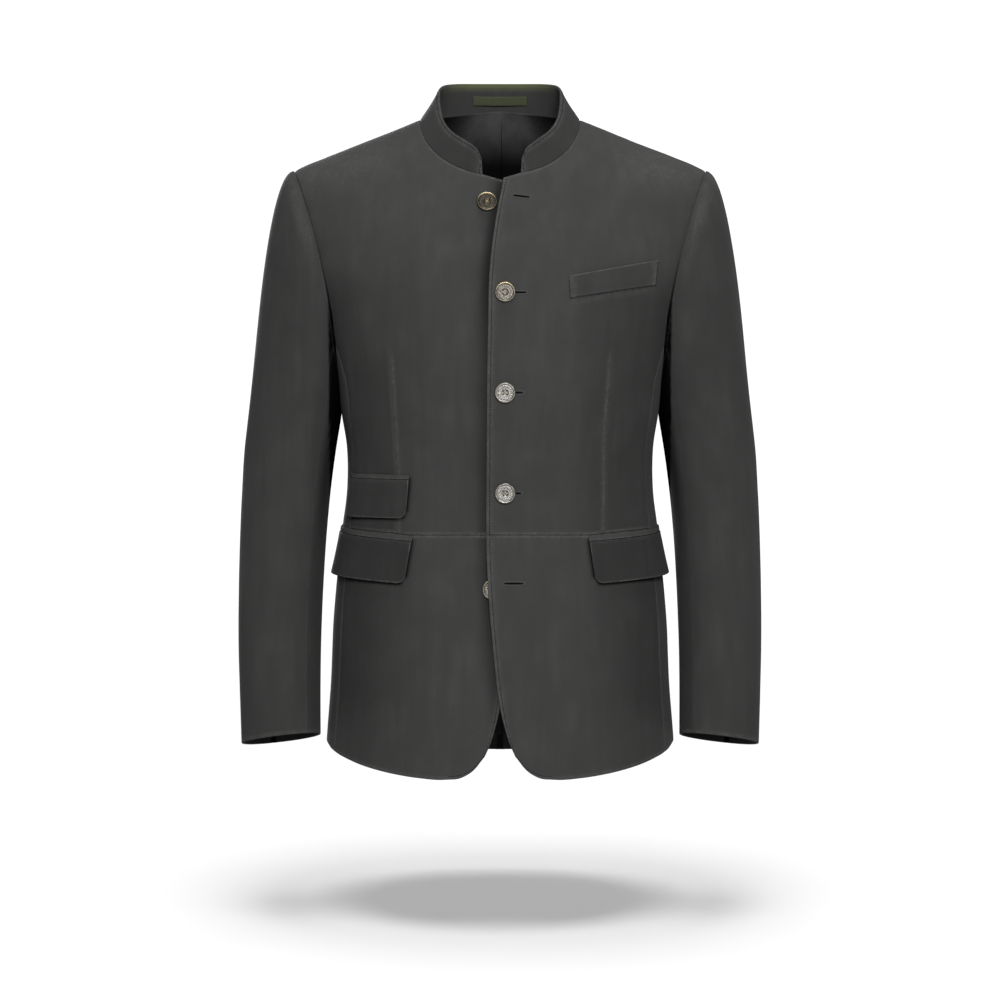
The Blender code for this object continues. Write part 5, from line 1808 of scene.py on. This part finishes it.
def part_of(line, start, end):
    """The line between two lengths along it. An end of 0 or less counts back from the line's own end."""
    points, normals = line
    reach = lengths_along(points)
    keep = (reach >= start) & (reach <= (end if end > 0 else reach[-1] + end))
    return points[keep], normals[keep]


def build_stitches(fronts, collar, welt, material):
    apart = SEWN_EDGE.stitched
    for word, (front, skirt) in fronts.items():
        edge = part_of(skirt.beside(LEFT, apart), apart, 0)
        hem = part_of(skirt.beside(BOTTOM, apart), apart, HEM_STITCHED)
        add_stitches(f"stitches_front_{word}", [front.beside(LEFT, apart), edge, hem], material)
    top = part_of(collar.beside(TOP, apart), apart, -apart)
    ends = [part_of(collar.beside(edge, apart), 0, -apart) for edge in (LEFT, RIGHT)]
    add_stitches("stitches_collar", [top, *ends], material)
    add_stitches("stitches_welt", [welt.beside(edge, WELT_STITCH) for edge in (LEFT, RIGHT)], material)


def on_left_front(out, height):
    """Points of the left front's outside, and the directions straight out of it."""
    points = on_torso(out, height, -1)
    upper = np.mean(height) > WAIST_SEAM
    folds = FRONT_UPPER_FOLDS + FRONT_PULLS[1] if upper else FRONT_LOWER_FOLDS
    rise = body_rise(folds, points) + SWAY * grain(points, SWAY_SCALE, SWAY_SEED)
    return lifted(points, lap_lift(out, height) + rise), outward(points)


def hole_outline(row, reach):
    """Points and normals round a buttonhole, this far outside its slit."""
    turns = np.linspace(0, 2 * math.pi, HOLE_STEPS + 1)
    long = np.copysign(np.abs(np.cos(turns)) ** HOLE_END_POWER, np.cos(turns))
    out = (row.start + row.end) / 2 + long * ((row.end - row.start) / 2 + reach)
    height = row.height - row.fall * (out - row.start) / (row.end - row.start)
    return on_left_front(out, height + np.sin(turns) * (HOLE_HALF_WIDTH + reach))


def build_buttonholes(thread, slit):
    points, faces, slits = [], [], []
    for row in BUTTONHOLES:
        add_tube(points, faces, *hole_outline(row, HOLE_LIP), np.full(HOLE_STEPS + 1, HOLE_LIP_RADIUS))
        bar = row.height - row.fall + np.linspace(-1, 1, BAR_STEPS) * (HOLE_HALF_WIDTH + HOLE_LIP)
        spots, normals = on_left_front(np.full(BAR_STEPS, row.end + HOLE_LIP), bar)
        add_tube(points, faces, spots, normals, np.full(BAR_STEPS, BAR_RADIUS))
        # The slits: sheets of painted shade over each buttonhole
        spots, normals = hole_outline(row, 0.0)
        slits.extend((spots + normals * HOLE_LIFT)[:-1])
    slit_faces = np.arange(len(slits)).reshape(-1, HOLE_STEPS)
    add_mesh("buttonhole_lips", np.array(points), faces, (thread,))
    add_mesh("buttonhole_slits", np.array(slits), slit_faces, (slit,))


def button_rings():
    """The rings of a button's face without its middle, and one more halfway to each next one."""
    rings = []
    for a, b in zip(BUTTON_FACE, BUTTON_FACE[1:]):
        rings += [a, ButtonRing(mix(a.radius, b.radius, 0.5), mix(a.height, b.height, 0.5))]
    return rings[1:]


def button_mesh():
    """Points and faces of a button turned from its rings, and how far each point is on its rim."""
    turns = np.arange(BUTTON_SEGMENTS) * 2 * math.pi / BUTTON_SEGMENTS
    points, rim = [(0, 0, BUTTON_FACE[0].height)], [0.0]
    for radius, height in button_rings():
        ribbed = smooth(radius, BUTTON_SPOKES_FROM, BUTTON_SPOKES_FROM + BUTTON_SPOKE_FADE)
        ribbed = ribbed * smooth(radius, BUTTON_SPOKES_TO, BUTTON_SPOKES_TO - BUTTON_SPOKE_FADE)
        ribs = BUTTON_SPOKE_RISE * ribbed * (height > BUTTON_FRONT_FROM) * np.cos(BUTTON_SPOKES * turns)
        points.extend(zip(radius * np.cos(turns), radius * np.sin(turns), height + ribs))
        rim.extend([float(smooth(radius, *RIM_ACROSS))] * BUTTON_SEGMENTS)
    rings = np.arange(1, len(points)).reshape(-1, BUTTON_SEGMENTS)
    points.append((0, 0, 0))
    rim.append(0.0)
    faces = []
    for here, there in zip(rings.T, np.roll(rings.T, -1, axis=0)):
        faces.append((0, here[0], there[0]))
        faces.extend(zip(here, here[1:], there[1:], there))
        faces.append((there[-1], here[-1], len(points) - 1))
    return np.array(points, float), faces, np.array(rim)


def button_place(row):
    """The button's frame: on its seat, with +Z out of the cloth."""
    seat = Vector(on_torso(row.out, row.height, -1))
    out = Vector(outward(np.array(seat)))
    tilt = math.radians(row.tilt)
    facing = (Matrix.Rotation(tilt, 3, "Z") @ out).to_track_quat("Z", "Y").to_matrix().to_4x4()
    clear = BUTTON_CLEAR + BUTTON_REST_RADIUS * math.sin(tilt)
    lift = float(lap_lift(row.out, row.height)) if row.lapped else 0.0
    return Matrix.Translation(seat + out * (lift + clear)) @ facing


def on_button(turn, radius, height):
    return Vector((radius * math.cos(turn), radius * math.sin(turn), height))


def thread_cross(place):
    """Points and faces of the two threads that cross between a button's holes."""
    points, faces = [], []
    up = np.array(place.to_3x3() @ Vector((0, 0, 1)))
    shares = np.linspace(0, 1, THREAD_STEPS)
    rise = THREAD_RISE * np.sin(math.pi * shares) - THREAD_SINK
    holes = [on_button(turn, BUTTON_HOLE_OFFSET, BUTTON_FACE[0].height) for turn in BUTTON_HOLE_TURNS]
    for start, end in zip(holes[:2], holes[2:]):
        line = np.array([place @ start.lerp(end, share) for share in shares]) + up * rise[:, None]
        add_tube(points, faces, line, np.tile(up, (THREAD_STEPS, 1)), np.full(THREAD_STEPS, THREAD_RADIUS))
    return np.array(points), faces


def hole_discs(place):
    """Points and faces of the discs of painted shade in a button's holes."""
    points = []
    for hole in BUTTON_HOLE_TURNS:
        centre = on_button(hole, BUTTON_HOLE_OFFSET, BUTTON_FACE[0].height + BUTTON_HOLE_RISE)
        for turn in np.arange(BUTTON_HOLE_STEPS) * 2 * math.pi / BUTTON_HOLE_STEPS:
            points.append(place @ (centre + on_button(turn, BUTTON_HOLE_RADIUS, 0)))
    return np.array(points), np.arange(len(points)).reshape(-1, BUTTON_HOLE_STEPS)


def build_buttons(metal, thread, slit):
    face, faces, rim = button_mesh()
    # Painted highlight: more brass over the top of each rim
    top_highlight = smooth(face[:, 1], 0, BUTTON_RADIUS)
    for number, (row, bronze_share) in enumerate(zip(BUTTONS, BRONZE_SHARES), start=1):
        place = button_place(row)
        points = np.array([place @ Vector(point) for point in face])
        obj = add_mesh(f"button_{number}_metal", points, faces, (metal,))
        add_values(obj, "brass_and_highlight", rim * np.maximum(RIM_BRASS, bronze_share * top_highlight))
        add_values(obj, "bronze_share", np.full(len(rim), bronze_share))
        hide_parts(f"button_{number}")
        add_mesh(f"button_{number}_thread", *thread_cross(place), (thread,))
        add_mesh(f"button_{number}_holes", *hole_discs(place), (slit,))


# The studio


def build_floor():
    """A pale floor that rises softly to the back."""
    rows = np.linspace(RAMP_FROM, RAMP_TO, RAMP_STEPS + 1)
    heights = mix(FLOOR_FRONT, FLOOR_BACK, smooth(rows, RAMP_FROM, RAMP_TO))
    rows = np.concatenate([[-FLOOR_HALF], rows, [FLOOR_HALF]])
    heights = np.concatenate([[FLOOR_FRONT], heights, [FLOOR_BACK]])
    points = [(x, y, z) for x in (-FLOOR_HALF, FLOOR_HALF) for y, z in zip(rows, heights)]
    count = len(rows)
    mesh = bpy.data.meshes.new("floor")
    mesh.from_pydata(points, [], [(i, count + i, count + i + 1, i + 1) for i in range(count - 1)])
    mesh.polygons.foreach_set("use_smooth", np.ones(len(mesh.polygons), bool))
    mesh.materials.append(floor_material())
    floor = bpy.data.objects.new("floor", mesh)
    bpy.context.scene.collection.objects.link(floor)
    return floor


def build_lights(floor):
    """Suns and lamps, each with the group of things that it lights."""
    groups = {name: bpy.data.collections.new(name) for name in ("garment", "lit_by_keys", "stage")}
    groups["stage"].objects.link(floor)
    for obj in bpy.context.scene.objects:
        if obj.type == "MESH" and obj != floor:
            groups["garment"].objects.link(obj)
            if obj.name not in UNLIT_BY_KEYS:
                groups["lit_by_keys"].objects.link(obj)
    for row in SUNS:
        light = bpy.data.lights.new(row.name, "SUN")
        light.energy = row.strength
        light.angle = math.radians(row.angle)
        links = add_light(light, SUN_PLACE, (0, 0, 0)).light_linking
        links.receiver_collection = groups[row.receivers]
        links.blocker_collection = groups[row.blockers]
    for row in LAMPS:
        light = bpy.data.lights.new(row.name, "AREA")
        light.energy = row.power
        light.size = LAMP_SIZE
        links = add_light(light, row.place, (0, 0, CAMERA_HEIGHT)).light_linking
        links.receiver_collection = groups[row.receivers]


def add_light(light, place, target):
    obj = bpy.data.objects.new(light.name, light)
    obj.location = place
    obj.rotation_euler = (Vector(target) - Vector(place)).to_track_quat("-Z", "Y").to_euler()
    bpy.context.scene.collection.objects.link(obj)
    return obj


def build_world():
    """Dim all round, with a bright band at the horizon."""
    world = bpy.data.worlds.new("studio")
    world.use_nodes = True
    tree = world.node_tree
    height = add_node(tree, "SeparateXYZ", "Z", {0: add_node(tree, "TexCoord", "Generated", {})})
    height = add_node(tree, "Math", 0, {0: height}, operation="ABSOLUTE")
    band = add_range(tree, height, *BAND_HEIGHTS, WORLD_BAND, WORLD_LIGHT)
    tree.links.new(band, tree.nodes["Background"].inputs["Color"])
    bpy.context.scene.world = world


def build_camera():
    camera = bpy.data.objects.new("camera", bpy.data.cameras.new("camera"))
    camera.data.sensor_width = SENSOR
    camera.data.lens = SENSOR * CAMERA_FAR / (PICTURE * SCALE)
    camera.location = (0, -CAMERA_FAR, CAMERA_HEIGHT)
    camera.rotation_euler = (math.pi / 2, 0, 0)
    bpy.context.scene.collection.objects.link(camera)
    bpy.context.scene.camera = camera
    bpy.context.scene.view_settings.view_transform = "Standard"


def main():
    suede = suede_material()
    lining = lining_material()
    fabrics = suede, lining
    # Seam allowances coloured as painted shadow
    hidden = thread_material("seam_allowance_shadow", ALLOWANCE_SHADOW_COLOUR)
    # Painted shade for the slits and the buttons' holes
    slit = thread_material("slit_painted_shade", SLIT_SHADE_COLOUR)
    fronts = {}
    for side, word in ((1, "left"), (-1, "right")):
        upper = build_front_upper(side, word, fabrics, hidden)
        fronts[word] = upper, build_front_lower(side, word, fabrics, hidden)
        build_side(side, word, fabrics, hidden)
        build_back(side, word, fabrics, hidden)
        build_sleeves(side, word, fabrics)
    collar = build_collar(suede)
    build_loop(tape_material())
    build_lining(lining)
    build_pockets(fabrics)
    welt = build_welt(suede)
    build_stitches(fronts, collar, welt, thread_material("sewing_thread", STITCH_COLOUR))
    build_buttonholes(thread_material("buttonhole_thread", HOLE_THREAD_COLOUR), slit)
    build_buttons(metal_material(), thread_material("button_thread", THREAD_COLOUR), slit)
    build_lights(build_floor())
    build_world()
    build_camera()


main()
